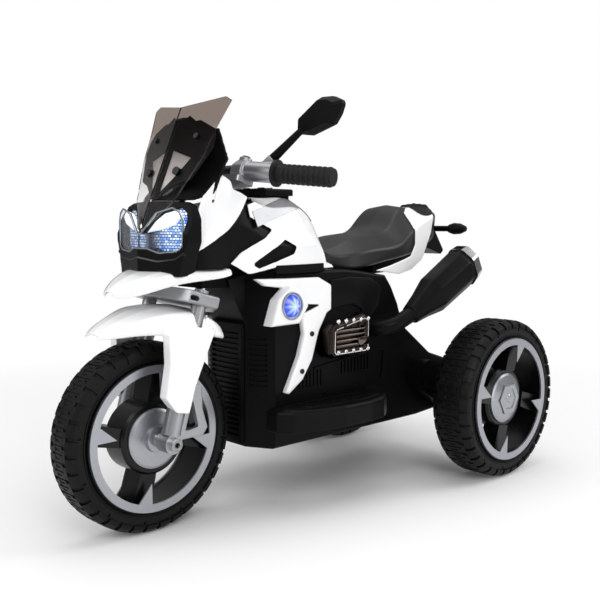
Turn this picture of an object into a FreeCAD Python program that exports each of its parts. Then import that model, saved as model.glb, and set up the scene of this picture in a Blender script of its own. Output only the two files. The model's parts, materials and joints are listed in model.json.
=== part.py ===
"""Child's battery ride-on motorbike on three wheels, in millimetres.

Frame: +X is forward, +Y is the rider's left, +Z is up, and the origin is on the ground at the middle of the
bike. Pieces of the body are drawn about the axle line, so their heights count from the axles. Pieces that
turn with the bars are drawn in the fork's frame, whose Z axis is the steering axis.
"""
import FreeCAD, Part
import math
import os
import Sketcher
from FreeCAD import Placement, Rotation, Vector

SIZES = [
    ("wheelbase", 683, "front axle to rear axle"),
    ("tyre_radius", 156, "ground to axle"),
    ("front_tyre_width", 69, "front tyre across"),
    ("rear_tyre_width", 82, "each rear tyre across"),
    ("rear_track", 438, "middle of one rear tyre to the other"),
    ("rim_radius", 122, "seat of the tyre on its rim"),
    ("rim_wall", 12, "thickness of the rim barrel"),
    ("trim_band", 13, "width of the silver ring"),
    ("trim_thickness", 3, "thickness of the silver ring"),
    ("spoke_count", 4, "spokes in each wheel"),
    ("spike_length", 32, "silver spike from the ring towards the hub"),
    ("hub_radius", 60, "black hub drum"),
    ("hub_cap_radius", 49, "silver disc on the hub"),
    ("front_hub_inset", 7, "ring down to the front hub disc"),
    ("rear_hub_inset", 19, "ring down to the rear hub cap"),
    ("tread_count", 36, "shoulder blocks on each side of a tyre"),
    ("tread_depth", 5, "depth of the tread"),
    ("axle_radius", 6, "steel axle rods"),
    ("running_gap", 0.08, "clearance of a shaft in its hole"),
    ("rake", 16, "steering axis back from upright, in degrees"),
    ("fork_offset", 50, "axle ahead of the steering axis"),
    ("fork_spacing", 140, "one fork leg to the other"),
    ("leg_radius", 12, "upper fork tube"),
    ("slider_radius", 15, "lower fork leg"),
    ("knuckle_radius", 16, "axle eye of the fork leg"),
    ("crown_height", 222, "axle to the underside of the fork crown, along the fork"),
    ("crown_thickness", 21, "fork crown plate"),
    ("column_radius", 10, "steering column"),
    ("bar_height", 463, "axle to the handlebar, along the fork"),
    ("yoke_drop", 12, "middle of the bar down to the top of the yoke"),
    ("yoke_thickness", 10, "top yoke plate"),
    ("bar_radius", 11, "handlebar tube"),
    ("bar_straight", 58, "half of the straight middle of the bar"),
    ("bar_reach", 214, "half of the handlebar across"),
    ("bar_sweep", 54, "bar ends behind the middle of the bar"),
    ("grip_radius", 16.5, "rubber grip"),
    ("grip_length", 104, "rubber grip along the bar"),
    ("arch_gap", 22, "front tyre back to the body"),
    ("body_half_width", 95, "middle of the bike to the body side"),
    ("body_wall", 4, "wall of the black body shell"),
    ("belly", 44, "axle line down to the belly"),
    ("skin", 3, "wall of the white mouldings"),
    ("cheek_inset", 5, "dark cheek panel below the white ones"),
    ("neck_half_width", 34, "steering neck of the body"),
    ("front_half_width", 45, "half of the narrow front of the body"),
    ("front_sweep", 26, "front corners of the body swept back"),
    ("fairing_depth", 12, "side fairing out from the body"),
    ("pod_depth", 26, "lamp pod out from the body"),
    ("lamp_radius", 19, "round side lamp"),
    ("engine_depth", 36, "engine cover out from the body"),
    ("step_half_width", 178, "middle of the bike to the edge of the step"),
    ("step_top", 32, "axle line up to the step"),
    ("step_depth", 38, "height of the step moulding"),
    ("screen_thickness", 3, "windscreen sheet"),
    ("muffler_y", 150, "middle of the bike to the muffler"),
    ("pipe_radius", 15, "exhaust pipe"),
    ("tip_band", 24, "chromed band on the end of the muffler"),
    ("fit", 0.3, "clearance between two mouldings"),
    ("button_travel", 3, "push of a bar button"),
]

doc = FreeCAD.newDocument("kids_motorbike")
sheet = doc.addObject("Spreadsheet::Sheet", "dims")
for row, (name, value, meaning) in enumerate(SIZES, start=1):
    sheet.set(f"A{row}", str(value))
    sheet.setAlias(f"A{row}", name)
    sheet.set(f"B{row}", meaning)
doc.recompute()
nodes = []

FRONT_AXLE = "dims.wheelbase / 2"
REAR_AXLE = "-dims.wheelbase / 2"
FORK_X = "dims.wheelbase / 2 - dims.fork_offset * cos(dims.rake)"
FORK_Z = "dims.tyre_radius - dims.fork_offset * sin(dims.rake)"
BODY_FRONT = "dims.wheelbase / 2 - dims.tyre_radius - dims.arch_gap"


def size(alias):
    """Value of one named size."""
    return float(sheet.get(alias))


def number(value):
    """A plain number, or what an expression on the sheet comes to."""
    return float(sheet.evalExpression(value)) if isinstance(value, str) else float(value)


def fore(x):
    """Place along the bike, counted from the front axle."""
    return size("wheelbase") / 2 + x


def aft(x):
    """Place along the bike, counted from the rear axle."""
    return x - size("wheelbase") / 2


def fork_place():
    """Where the fork's frame stands."""
    return Placement(Vector(number(FORK_X), 0, number(FORK_Z)), Rotation(Vector(0, -1, 0), size("rake")))


def axle_place():
    """Where the axle line of the body stands."""
    return Placement(Vector(0, 0, size("tyre_radius")), Rotation())


# Helpers for drawn features

def give(item, prop, value):
    """Sets a property, bound to the sheet where the value is an expression."""
    if isinstance(value, str):
        item.setExpression(prop, value)
    else:
        setattr(item, prop, value)


def in_fork(item):
    """Binds a piece to the fork's frame."""
    item.Placement = fork_place()
    item.setExpression("Placement.Base.x", FORK_X)
    item.setExpression("Placement.Base.z", FORK_Z)
    item.setExpression("Placement.Rotation.Angle", "dims.rake")
    return item


def on_axle_line(item, x=None, y=None):
    """Binds a piece to the axle line, and to a place along and across the bike where one is given."""
    item.setExpression("Placement.Base.z", "dims.tyre_radius")
    if x is not None:
        item.setExpression("Placement.Base.x", x)
    if y is not None:
        item.setExpression("Placement.Base.y", y)
    return item


def body_of(label):
    return doc.addObject("PartDesign::Body", label)


def origin(body, role):
    return next(item for item in body.Origin.OriginFeatures if item.Role == role)


def sketch(body, role, shift=None):
    """A sketch on one of the body's own planes, shifted along the plane's normal."""
    drawing = body.newObject("Sketcher::SketchObject", "outline")
    drawing.AttachmentSupport = [(origin(body, role), "")]
    drawing.MapMode = "FlatFace"
    if shift is not None:
        drawing.setExpression("AttachmentOffset.Base.z", shift)
    return drawing


def pin_point(drawing, index, point, x, y):
    """Holds one point of a sketch at a place."""
    for kind, value in (("DistanceX", x), ("DistanceY", y)):
        item = drawing.addConstraint(Sketcher.Constraint(kind, -1, 1, index, point, number(value)))
        if isinstance(value, str):
            drawing.setExpression(f"Constraints[{item}]", value)


def polygon(drawing, corners):
    """A closed outline of straight sides."""
    first = drawing.GeometryCount
    places = [Vector(number(x), number(y), 0) for x, y in corners]
    count = len(places)
    for i in range(count):
        drawing.addGeometry(Part.LineSegment(places[i], places[(i + 1) % count]))
    for i in range(count):
        drawing.addConstraint(Sketcher.Constraint("Coincident", first + i, 2, first + (i + 1) % count, 1))
    for i, (x, y) in enumerate(corners):
        pin_point(drawing, first + i, 1, x, y)
    return drawing


def circle(drawing, x, y, radius):
    """A circle about a place."""
    index = drawing.addGeometry(Part.Circle(Vector(number(x), number(y), 0), Vector(0, 0, 1), number(radius)))
    pin_point(drawing, index, 3, x, y)
    item = drawing.addConstraint(Sketcher.Constraint("Radius", index, number(radius)))
    if isinstance(radius, str):
        drawing.setExpression(f"Constraints[{item}]", radius)
    return drawing


def feature(body, kind, drawing, length, away=False):
    """A pad or pocket of a sketch."""
    item = body.newObject("PartDesign::" + kind, kind.lower())
    item.Profile = drawing
    give(item, "Length", length)
    item.Reversed = away
    return item


def pad(body, drawing, length, away=False):
    return feature(body, "Pad", drawing, length, away)


def pocket(body, drawing, length, away=False):
    return feature(body, "Pocket", drawing, length, away)


def revolve(body, drawing):
    """A full turn of a sketch about its own upright axis."""
    item = body.newObject("PartDesign::Revolution", "revolution")
    item.Profile = drawing
    item.ReferenceAxis = (drawing, ["V_Axis"])
    item.Angle = 360
    return item


def around(body, features, axis, count):
    """Copies of features round an axis of the body."""
    item = body.newObject("PartDesign::PolarPattern", "polar")
    item.Originals = features
    item.Axis = (origin(body, axis), [""])
    item.Angle = 360
    give(item, "Occurrences", count)
    body.Tip = item
    return item


def along(body, features, axis, length, count, back=False):
    """Copies of features in a row."""
    item = body.newObject("PartDesign::LinearPattern", "row")
    item.Originals = features
    item.Direction = (origin(body, axis), [""])
    item.Reversed = back
    give(item, "Length", length)
    give(item, "Occurrences", count)
    body.Tip = item
    return item


def soften(body, kind, base, test, radius):
    """A fillet or chamfer on the edges that pass a test."""
    doc.recompute()
    names = [f"Edge{i}" for i, edge in enumerate(base.Shape.Edges, start=1) if test(edge)]
    item = body.newObject("PartDesign::" + kind, kind.lower())
    item.Base = (base, names)
    give(item, "Radius" if kind == "Fillet" else "Size", radius)
    return item


def keep(item, label):
    """Makes an object a sub-part of the bike."""
    item.Label = label
    nodes.append(item)
    return item


def cylinder(radius, height, place=None):
    """A plain cylinder, for a cut or a fuse."""
    item = doc.addObject("Part::Cylinder", "cylinder")
    give(item, "Radius", radius)
    give(item, "Height", height)
    if place is not None:
        item.Placement = place
    return item


def minus(base, tool):
    item = doc.addObject("Part::Cut", "cut")
    item.Base = base
    item.Tool = tool
    return item


def grouped(shapes):
    item = doc.addObject("Part::Compound", "group")
    item.Links = shapes
    return item


def mirrored(source):
    """The same piece on the other side of the bike."""
    item = doc.addObject("Part::Mirroring", "mirror")
    item.Source = source
    item.Normal = Vector(0, 1, 0)
    return item


# Helpers for moulded skins

def moulding(label, shape, place):
    """A moulded piece whose shape is lofted in code."""
    item = doc.addObject("Part::Feature", label)
    item.Shape = shape
    item.Placement = place
    return keep(item, label)


def rounded(corners, radius):
    """A closed wire through corners, each corner rounded as far as its sides allow."""
    count = len(corners)
    cuts = []
    for i, corner in enumerate(corners):
        before = corners[i - 1] - corner
        after = corners[(i + 1) % count] - corner
        half = before.getAngle(after) / 2
        room = 0.42 * min(before.Length, after.Length)
        back = min(radius / math.tan(half), room)
        start = corner + before.normalize() * back
        end = corner + after.normalize() * back
        centre = corner + (before + after).normalize() * (back / math.cos(half))
        middle = centre + (corner - centre).normalize() * (back * math.tan(half))
        cuts.append((start, middle, end))
    edges = []
    for i, (start, middle, end) in enumerate(cuts):
        edges.append(Part.Arc(start, middle, end).toShape())
        edges.append(Part.LineSegment(end, cuts[(i + 1) % count][0]).toShape())
    return Part.Wire(edges)


def inset(corners, depth):
    """Corners of a flat outline, listed anticlockwise, moved in by a depth."""
    moved = []
    count = len(corners)
    for i, (x, y) in enumerate(corners):
        (x0, y0), (x1, y1) = corners[i - 1], corners[(i + 1) % count]
        a = math.atan2(y - y0, x - x0)
        b = math.atan2(y1 - y, x1 - x)
        turn = (a + b) / 2 + (math.pi if abs(a - b) > math.pi else 0)
        reach = depth / max(abs(math.cos((a - b) / 2)), 0.3)
        moved.append((x - math.sin(turn) * reach, y + math.cos(turn) * reach))
    return moved


def section(x, half, depth, foot, radius):
    """Rounded wire across the bike at x, from half an outline (y, h) listed from the crown down."""
    crown, flank = half[0], half[1:]
    right = [(-y, h) for y, h in flank]
    left = [(y, h) for y, h in reversed(flank)]
    ring = inset([(0, crown)] + right + left, depth)
    hem = (len(flank), len(flank) + 1)
    corners = [Vector(x, y, h - foot if i in hem else h) for i, (y, h) in enumerate(ring)]
    return rounded(corners, radius)


def hull(stations, depth=0, foot=0, radius=9):
    """Loft through stations, moved in by a depth, with its underside dropped by the foot."""
    return Part.makeLoft([section(x, half, depth, foot, radius) for x, half in stations], True, False)


def shell(stations, wall, foot=60, depth=0):
    """A moulded skin of a lofted form, open below."""
    return hull(stations, depth).cut(hull(stations, depth + wall, foot))


def slab(outline, y0, y1, radius=0):
    """A side outline (x, h) carried across the bike from y0 to y1."""
    corners = [Vector(x, y0, h) for x, h in outline]
    wire = rounded(corners, radius) if radius else Part.makePolygon(corners + corners[:1])
    return Part.Face(wire).extrude(Vector(0, y1 - y0, 0))


def pillar(plan):
    """A plan (x, y) carried up the height of the bike."""
    corners = [Vector(x, y, -200) for x, y in plan]
    return Part.Face(Part.makePolygon(corners + corners[:1])).extrude(Vector(0, 0, 800))


def block(x0, x1, y0, y1, z0, z1):
    """A box between two corners."""
    return Part.makeBox(x1 - x0, y1 - y0, z1 - z0, Vector(x0, y0, z0))


def other_side(shape):
    return shape.mirror(Vector(), Vector(0, 1, 0))


def both_sides(shape):
    return Part.Compound([shape, other_side(shape)])


# Wheels

def tyre(label, width):
    """Tyre with square shoulders, cut into blocks all round."""
    body = body_of(label)
    half = width + " / 2"
    crown = width + " * 0.22"
    drawing = polygon(sketch(body, "XY_Plane"), [
        ("dims.rim_radius", f"-{half} + 5"), ("dims.rim_radius + 12", f"-{half}"),
        ("dims.tyre_radius - 16", f"-{half}"), ("dims.tyre_radius - 4", f"-{half} + 9"),
        ("dims.tyre_radius", f"-{crown}"), ("dims.tyre_radius", crown),
        ("dims.tyre_radius - 4", f"{half} - 9"), ("dims.tyre_radius - 16", half),
        ("dims.rim_radius + 12", half), ("dims.rim_radius", f"{half} - 5")])
    revolve(body, drawing)
    cuts = []
    for side in (1, -1):
        edge = "" if side > 0 else "-"
        slot = polygon(sketch(body, "XZ_Plane", f"{edge}({crown})"), [
            ("dims.tyre_radius - dims.tread_depth", -3), ("dims.tyre_radius + 2", -3),
            ("dims.tyre_radius + 2", 3), ("dims.tyre_radius - dims.tread_depth", 3)])
        cuts.append(pocket(body, slot, half, away=side > 0))
    around(body, cuts, "Y_Axis", "dims.tread_count")
    return body


def rim(label, width, inset_size, turn, both):
    """Barrel, hub drum and blade spokes of one wheel; the outer face looks to +Y."""
    body = body_of(label)
    face = f"{width} / 2 + 3"
    hub_out = f"{face} - {inset_size}"
    hub_in = f"-({hub_out} - 2)" if both else f"-({width} / 2 - 3)"
    barrel = polygon(sketch(body, "XY_Plane"), [
        ("dims.rim_radius - dims.rim_wall", f"-({width} / 2 - 2)"),
        ("dims.rim_radius", f"-({width} / 2 - 2)"),
        ("dims.rim_radius", f"{width} / 2 - 2"), ("dims.rim_radius - dims.rim_wall", f"{width} / 2 - 2")])
    revolve(body, barrel)
    bore = "dims.axle_radius + dims.running_gap"
    hub = polygon(sketch(body, "XY_Plane"), [
        (bore, hub_in), ("dims.hub_radius - 8", hub_in), ("dims.hub_radius", f"{hub_in} + 6"),
        ("dims.hub_radius", f"{hub_out} - 6"), ("dims.hub_radius - 4", f"{hub_out} - 2"),
        (bore, f"{hub_out} - 2")])
    spoke = polygon(sketch(body, "XZ_Plane", f"-({width} / 2 - 12)"), [
        ("dims.hub_radius - 6", -15), ("dims.rim_radius - dims.rim_wall + 4", -9),
        ("dims.rim_radius - dims.rim_wall + 4", 26), ("dims.hub_radius - 6", 15)])
    blade = pad(body, spoke, f"{width} / 2 - 6" if not both else f"{width} - 24")
    around(body, [blade], "Y_Axis", "dims.spoke_count")
    revolve(body, hub)
    body.Placement = Placement(Vector(), Rotation(Vector(0, 1, 0), turn))
    return body


def trim_ring(label, width):
    """Silver ring with a spike over each spoke, on the outer face of a rim."""
    body = body_of(label)
    seat = f"-({width} / 2 - 2)"
    ring = sketch(body, "XZ_Plane", seat)
    circle(ring, 0, 0, "dims.rim_radius - 2")
    circle(ring, 0, 0, "dims.rim_radius - 2 - dims.trim_band")
    pad(body, ring, "dims.trim_thickness", away=True)
    spike = polygon(sketch(body, "XZ_Plane", seat), [
        ("dims.rim_radius - 4 - dims.trim_band - dims.spike_length", 1),
        ("dims.rim_radius - dims.trim_band", -4),
        ("dims.rim_radius - dims.trim_band", 24)])
    point = pad(body, spike, "dims.trim_thickness", away=True)
    around(body, [point], "Y_Axis", "dims.spoke_count")
    return body


def hub_disc(label, width, inset_size, boss):
    """Silver cover on a hub: a dished disc with a stepped middle."""
    body = body_of(label)
    seat = f"{width} / 2 + 3 - {inset_size} - 2"
    hole = "dims.axle_radius + dims.running_gap"
    steps = [(hole, seat), ("dims.hub_cap_radius", seat), ("dims.hub_cap_radius", f"{seat} + 3"),
             ("dims.hub_cap_radius - 4", f"{seat} + 5")]
    if boss:
        steps += [("dims.hub_cap_radius * 0.45", f"{seat} + 6"),
                  ("dims.hub_cap_radius * 0.42", f"{seat} + 13"),
                  ("dims.axle_radius * 2", f"{seat} + 15"), (hole, f"{seat} + 15")]
    else:
        dome = [("dims.hub_cap_radius * 0.5", f"{seat} + 11"), (0, f"{seat} + 12")]
        steps = [(0, seat)] + steps[1:] + dome
    revolve(body, polygon(sketch(body, "XY_Plane"), steps))
    return body


def wheels():
    """Front wheel between the fork legs and a rear wheel on each side."""
    front = "dims.front_tyre_width"
    rear = "dims.rear_tyre_width"
    keep(on_axle_line(tyre("front_tyre", front), FRONT_AXLE), "front_tyre")
    keep(on_axle_line(rim("front_rim", front, "dims.front_hub_inset", -97, True), FRONT_AXLE), "front_rim")
    ring = trim_ring("front_ring", front)
    ring.Placement = Placement(Vector(), Rotation(Vector(0, 1, 0), -97))
    disc = hub_disc("front_disc", front, "dims.front_hub_inset", True)
    near = grouped([ring, disc])
    keep(on_axle_line(grouped([near, mirrored(near)]), FRONT_AXLE), "front_trim")
    left_y = "dims.rear_track / 2"
    left = [("rear_tyre", on_axle_line(tyre("rear_tyre", rear), REAR_AXLE, left_y)),
            ("rear_rim", on_axle_line(rim("rear_rim", rear, "dims.rear_hub_inset", -10, False),
                                      REAR_AXLE, left_y))]
    ring = trim_ring("rear_ring", rear)
    ring.Placement = Placement(Vector(), Rotation(Vector(0, 1, 0), -10))
    cap = hub_disc("rear_cap", rear, "dims.rear_hub_inset", False)
    left.append(("rear_trim", on_axle_line(grouped([ring, cap]), REAR_AXLE, left_y)))
    for label, piece in left:
        keep(piece, label + "_left")
        keep(mirrored(piece), label + "_right")


# Front fork and bars, in the fork's frame

def tube_y(body, x, z, radius, y0, y1):
    """A round bar across the bike, from y0 to y1."""
    return pad(body, circle(sketch(body, "XZ_Plane", f"-({y1})"), x, z, radius), f"({y1}) - ({y0})")


def fork():
    """Column, crown, legs with their axle eyes, brake brackets and the front axle."""
    leg_y = "dims.fork_spacing / 2"
    column = body_of("steering_column")
    pad(column, circle(sketch(column, "XY_Plane", "dims.crown_height"), 0, 0, "dims.column_radius"),
        "dims.bar_height - dims.yoke_drop - dims.crown_height")
    keep(in_fork(column), "steering_column")

    crown = body_of("fork_crown")
    edge = f"{leg_y} + 20"
    plate = polygon(sketch(crown, "XY_Plane", "dims.crown_height"), [
        (-24, -20), (26, f"-({edge})"), (84, f"-({edge})"), (96, -52),
        (96, 52), (84, edge), (26, edge), (-24, 20)])
    pad(crown, plate, "dims.crown_thickness")
    holes = sketch(crown, "XY_Plane", "dims.crown_height")
    circle(holes, 0, 0, "dims.column_radius + dims.running_gap")
    for side in ("", "-"):
        circle(holes, "dims.fork_offset", f"{side}{leg_y}", "dims.leg_radius + dims.running_gap")
    pocket(crown, holes, "dims.crown_thickness + 1", away=True)
    slots = sketch(crown, "XZ_Plane", f"-({edge})")
    polygon(slots, [(66, "dims.crown_height + 5"), (84, "dims.crown_height + 5"),
                    (84, "dims.crown_height + 13"), (66, "dims.crown_height + 13")])
    pocket(crown, slots, "2 * dims.fork_spacing", away=True)
    soften(crown, "Chamfer", crown.Tip, lambda e: e.BoundBox.ZLength < 0.1 and e.Length > 45, 3)
    keep(in_fork(crown), "fork_crown")

    leg = body_of("fork_leg")
    tube = sketch(leg, "XY_Plane", "dims.knuckle_radius")
    pad(leg, circle(tube, "dims.fork_offset", leg_y, "dims.leg_radius"),
        "dims.crown_height + dims.crown_thickness + 5 - dims.knuckle_radius")
    slider = sketch(leg, "XY_Plane", "dims.knuckle_radius - 4")
    pad(leg, circle(slider, "dims.fork_offset", leg_y, "dims.slider_radius"), 100)
    tube_y(leg, "dims.fork_offset", 0, "dims.knuckle_radius", f"{leg_y} - 14", f"{leg_y} + 14")
    bore = circle(sketch(leg, "XZ_Plane", f"-({leg_y} + 15)"), "dims.fork_offset", 0,
                  "dims.axle_radius + dims.running_gap")
    pocket(leg, bore, 30, away=True)
    keep(in_fork(grouped([leg, mirrored(leg)])), "fork_legs")

    bracket = body_of("brake_bracket")
    back = "dims.fork_offset - dims.slider_radius"
    frame = sketch(bracket, "XZ_Plane", f"-({leg_y} + 5)")
    polygon(frame, [(f"{back} - 2", 6), (f"{back} - 46", 20), (f"{back} - 52", 34), (f"{back} - 34", 62),
                    (f"{back} - 22", 98), (back, 100), (back, 14)])
    polygon(frame, [(f"{back} - 9", 22), (f"{back} - 33", 32), (f"{back} - 10", 74)])
    pad(bracket, frame, 10)
    keep(in_fork(grouped([bracket, mirrored(bracket)])), "brake_brackets")

    axle = body_of("front_axle")
    end = f"{leg_y} + 14"
    tube_y(axle, "dims.fork_offset", 0, "dims.axle_radius", f"-({end})", end)
    for side in (1, -1):
        low, high = (end, f"{end} + 6") if side > 0 else (f"-({end}) - 6", f"-({end})")
        tube_y(axle, "dims.fork_offset", 0, "dims.axle_radius + 5", low, high)
        inner, outer = "dims.front_tyre_width / 2 + 9.5", f"{leg_y} - 14"
        low, high = (inner, outer) if side > 0 else (f"-({outer})", f"-({inner})")
        tube_y(axle, "dims.fork_offset", 0, "dims.axle_radius + 5", low, high)
    keep(in_fork(axle), "front_axle")


def bar_line():
    """Corner points of the handlebar, from the right end to the left end."""
    half, reach, sweep = size("bar_straight"), size("bar_reach"), size("bar_sweep")
    x, z = 8, size("bar_height")
    return [Vector(x - sweep, -reach, z), Vector(x, -half, z),
            Vector(x, half, z), Vector(x - sweep, reach, z)]


def bar_shape(radius):
    """Round bar along the handlebar, with bent corners."""
    points = bar_line()
    bend = 40
    edges = []
    start = points[0]
    for i in (1, 2):
        before = (points[i - 1] - points[i]).normalize()
        after = (points[i + 1] - points[i]).normalize()
        half = before.getAngle(after) / 2
        back = bend / math.tan(half)
        centre = points[i] + (before + after).normalize() * (bend / math.sin(half))
        middle = centre + (points[i] - centre).normalize() * bend
        edges.append(Part.LineSegment(start, points[i] + before * back).toShape())
        edges.append(Part.Arc(points[i] + before * back, middle, points[i] + after * back).toShape())
        start = points[i] + after * back
    edges.append(Part.LineSegment(start, points[3]).toShape())
    path = Part.Wire(edges)
    ring = Part.Wire(Part.Circle(points[0], points[1] - points[0], radius).toShape())
    return path.makePipeShell([ring], True, False)


def bar_end():
    """Left end of the bar, and the way from it back along the grip."""
    points = bar_line()
    return points[3], (points[2] - points[3]).normalize()


def grip_shape():
    """Ribbed rubber grip with a flange at its inner end, about the left end of the bar."""
    end, inward = bar_end()
    radius, length = size("grip_radius"), size("grip_length")
    ribs = 9
    step = (length - 20) / ribs
    outline = [(size("bar_radius"), 0), (radius - 2, 0), (radius, 2)]
    for i in range(ribs):
        low = 6 + i * step
        outline += [(radius, low), (radius - 1.5, low + 2), (radius - 1.5, low + 4), (radius, low + 6)]
    outline += [(radius, length - 6), (radius + 6, length - 5), (radius + 6, length)]
    outline.append((size("bar_radius"), length))
    corners = [Vector(r, 0, s) for r, s in outline]
    face = Part.Face(Part.makePolygon(corners + corners[:1]))
    solid = face.revolve(Vector(), Vector(0, 0, 1), 360)
    cap = Part.makeCylinder(radius - 2, 3, Vector(0, 0, -3))
    whole = solid.fuse(cap).removeSplitter()
    whole.transformShape(Placement(end, Rotation(Vector(0, 0, 1), inward)).toMatrix(), True)
    return whole


def stalk_line():
    """Foot and direction of the left mirror stalk."""
    points = bar_line()
    along_bar = (points[3] - points[2]).normalize()
    return points[2] + along_bar * 30, Vector(-0.197, 0.613, 0.764).normalize()


def clamp_shape():
    """Silver bar clamp: a riser on the yoke, a sleeve out to the grip, a mirror socket and a button boss."""
    points = bar_line()
    z = size("bar_height")
    along_bar = (points[3] - points[2]).normalize()
    end, inward = bar_end()
    start = points[2] - along_bar * 6
    length = (end - start).Length - size("grip_length") - size("fit")
    top = z - size("yoke_drop")
    riser = [(-10, top), (27, top), (26, z + 6), (16, z + 17), (-2, z + 17), (-12, z + 6)]
    solid = slab(riser, 44, 70, 4)
    solid = solid.fuse(Part.makeCylinder(size("bar_radius") + 6, length, start, along_bar))
    solid = solid.cut(block(-40, 60, 0, 70, top - 40, top))
    foot, up = stalk_line()
    solid = solid.fuse(Part.makeCylinder(9, 32, foot, up))
    boss = Vector(8, 56, z + 10)
    solid = solid.fuse(Part.makeCylinder(11, 12, boss, Vector(0, 0, 1)))
    solid = solid.cut(bar_shape(size("bar_radius") + size("running_gap")))
    solid = solid.cut(Part.makeCylinder(5 + size("running_gap"), 14, foot + up * 20, up))
    solid = solid.cut(Part.makeCylinder(7 + size("running_gap"), 10, boss + Vector(0, 0, 3), Vector(0, 0, 1)))
    return solid


def button_shape():
    """Push button in the boss of the left clamp, at rest."""
    base = Vector(8, 56, size("bar_height") + 13 + size("button_travel") + size("fit"))
    solid = Part.makeCylinder(7, 9, base, Vector(0, 0, 1))
    top = max(solid.Edges, key=lambda e: e.CenterOfMass.z)
    return solid.makeFillet(1.5, [top])


def mirror_shape():
    """Left mirror: a pin in its socket, a tapering stalk and a wide dished head."""
    foot, up = stalk_line()
    place = fork_place()
    level = place.inverse().Rotation
    pin = Part.makeCylinder(5, 13, foot + up * 20.5, up)
    stalk = Part.makeCone(8, 5.5, 68, foot + up * (32 + size("fit")), up)
    middle = Vector(-24, 180, size("bar_height") + 98)
    outline = [(-49, -14), (-49, -4), (-17, 15), (6, 29), (31, 28), (54, 18), (46, 0), (33, -16),
               (-19, -30), (-50, -26)]
    wires = []
    for depth, scale in ((-9, 0.94), (-6, 1.0), (2, 1.0), (12, 0.8)):
        corners = [middle + level.multVec(Vector(depth, y * scale, h * scale)) for y, h in outline]
        wires.append(rounded(corners, 7))
    head = Part.makeLoft(wires, True, True)
    return pin.fuse([stalk, head]).removeSplitter()


def bars():
    """Top yoke, handlebar, clamps, grips, buttons and mirrors."""
    yoke = body_of("top_yoke")
    low = "dims.bar_height - dims.yoke_drop - dims.yoke_thickness"
    plate = polygon(sketch(yoke, "XY_Plane", low), [
        (-20, -20), (-10, -68), (27, -68), (32, -20), (32, 20), (27, 68), (-10, 68), (-20, 20)])
    pad(yoke, plate, "dims.yoke_thickness")
    hole = circle(sketch(yoke, "XY_Plane", low), 0, 0, "dims.column_radius + dims.running_gap")
    solid = pocket(yoke, hole, "dims.yoke_thickness", away=True)
    soften(yoke, "Fillet", solid, lambda e: e.BoundBox.XLength < 0.1 and e.BoundBox.YLength < 0.1, 6)
    keep(in_fork(yoke), "top_yoke")
    place = fork_place()
    moulding("handlebar", bar_shape(size("bar_radius")), place)
    clamp, grip, button, mirror = clamp_shape(), grip_shape(), button_shape(), mirror_shape()
    moulding("bar_clamps", both_sides(clamp), place)
    moulding("grip_left", grip, place)
    moulding("grip_right", other_side(grip), place)
    moulding("horn_button", button, place)
    moulding("music_button", other_side(button), place)
    moulding("mirror_left", mirror, place)
    moulding("mirror_right", other_side(mirror), place)


def mudguard():
    """White front mudguard with a cover down over each fork leg, drawn about the front axle."""
    stations = [
        (92, [176, (10, 175), (20, 172), (22, 167)]),
        (68, [192, (20, 190), (40, 182), (44, 169)]),
        (28, [207, (26, 205), (56, 197), (64, 170)]),
        (-14, [214, (30, 212), (76, 205), (87, 169)]),
        (-54, [212, (34, 210), (80, 202), (90, 166)]),
        (-88, [201, (34, 199), (78, 187), (89, 160)]),
        (-108, [188, (30, 186), (68, 174), (80, 156)])]
    cover = shell(stations, size("skin"), 40)
    outer = size("fork_spacing") / 2 + size("slider_radius") + size("skin") + 0.5
    leg = [(8, 176), (7, 127), (16, 75), (-4, 50), (-28, 45), (-41, 88), (-78, 166), (-84, 176)]
    inner = inset(leg[::-1], size("skin"))
    tray = slab(leg, outer - 20, outer, 3).cut(slab(inner, outer - 21, outer - size("skin"), 2))
    whole = cover.fuse([tray, other_side(tray)])
    rake = math.radians(size("rake"))
    up = Vector(-math.sin(rake), 0, math.cos(rake))
    for side in (1, -1):
        foot = Vector(0, side * size("fork_spacing") / 2, 0)
        whole = whole.cut(Part.makeCylinder(size("slider_radius") + 0.4, 320, foot, up))
    place = Placement(Vector(size("wheelbase") / 2, 0, size("tyre_radius")), Rotation())
    moulding("front_mudguard", whole, place)


# Body, drawn about the axle line

SIDE_STATIONS = [
    (-6, [300, (36, 298), (64, 292), (73, 284), (73, 258)]),
    (-41, [372, (40, 370), (72, 360), (84, 320), (86, 256)]),
    (-96, [440, (46, 438), (82, 425), (98, 345), (104, 250)]),
    (-151, [410, (50, 406), (84, 392), (103, 335), (108, 244)])]
TANK_STATIONS = [
    (150, [392, (52, 390), (86, 374), (108, 314), (107, 238)]),
    (70, [392, (48, 389), (80, 372), (106, 308), (103, 238)]),
    (20, [350, (42, 347), (74, 328), (98, 288), (97, 236)]),
    (-35, [280, (34, 278), (60, 270), (76, 256), (76, 234)])]
SEAT_STATIONS = [
    (-36, [296, (30, 295), (52, 288), (50, 262)]),
    (-75, [312, (46, 308), (82, 288), (80, 258)]),
    (-150, [328, (50, 322), (86, 296), (83, 268)]),
    (-205, [343, (52, 336), (86, 303), (83, 276)]),
    (-232, [371, (48, 364), (84, 318), (81, 280)]),
    (-262, [383, (46, 377), (80, 336), (77, 286)]),
    (-350, [389, (34, 386), (58, 364), (54, 320)])]


def skin_stations():
    """Form of the nose and tank, from the headlamp back to the seat."""
    return [(fore(x), half) for x, half in SIDE_STATIONS] + TANK_STATIONS


def body_outline():
    """Side outline of the black body, from the bottom of its front round to the belly."""
    front, deep = number(BODY_FRONT), -size("belly")
    return [(front, deep), (front, 174), (front + 18, 212), (front + 32, 250), (140, 262), (40, 262),
            (-36, 261.7), (-75, 257.5), (-150, 246), (-168, 224), (-188, 189), (-205, 144), (-292, 80),
            (aft(-44), 50), (aft(-50), -34), (-250, deep)]


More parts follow.
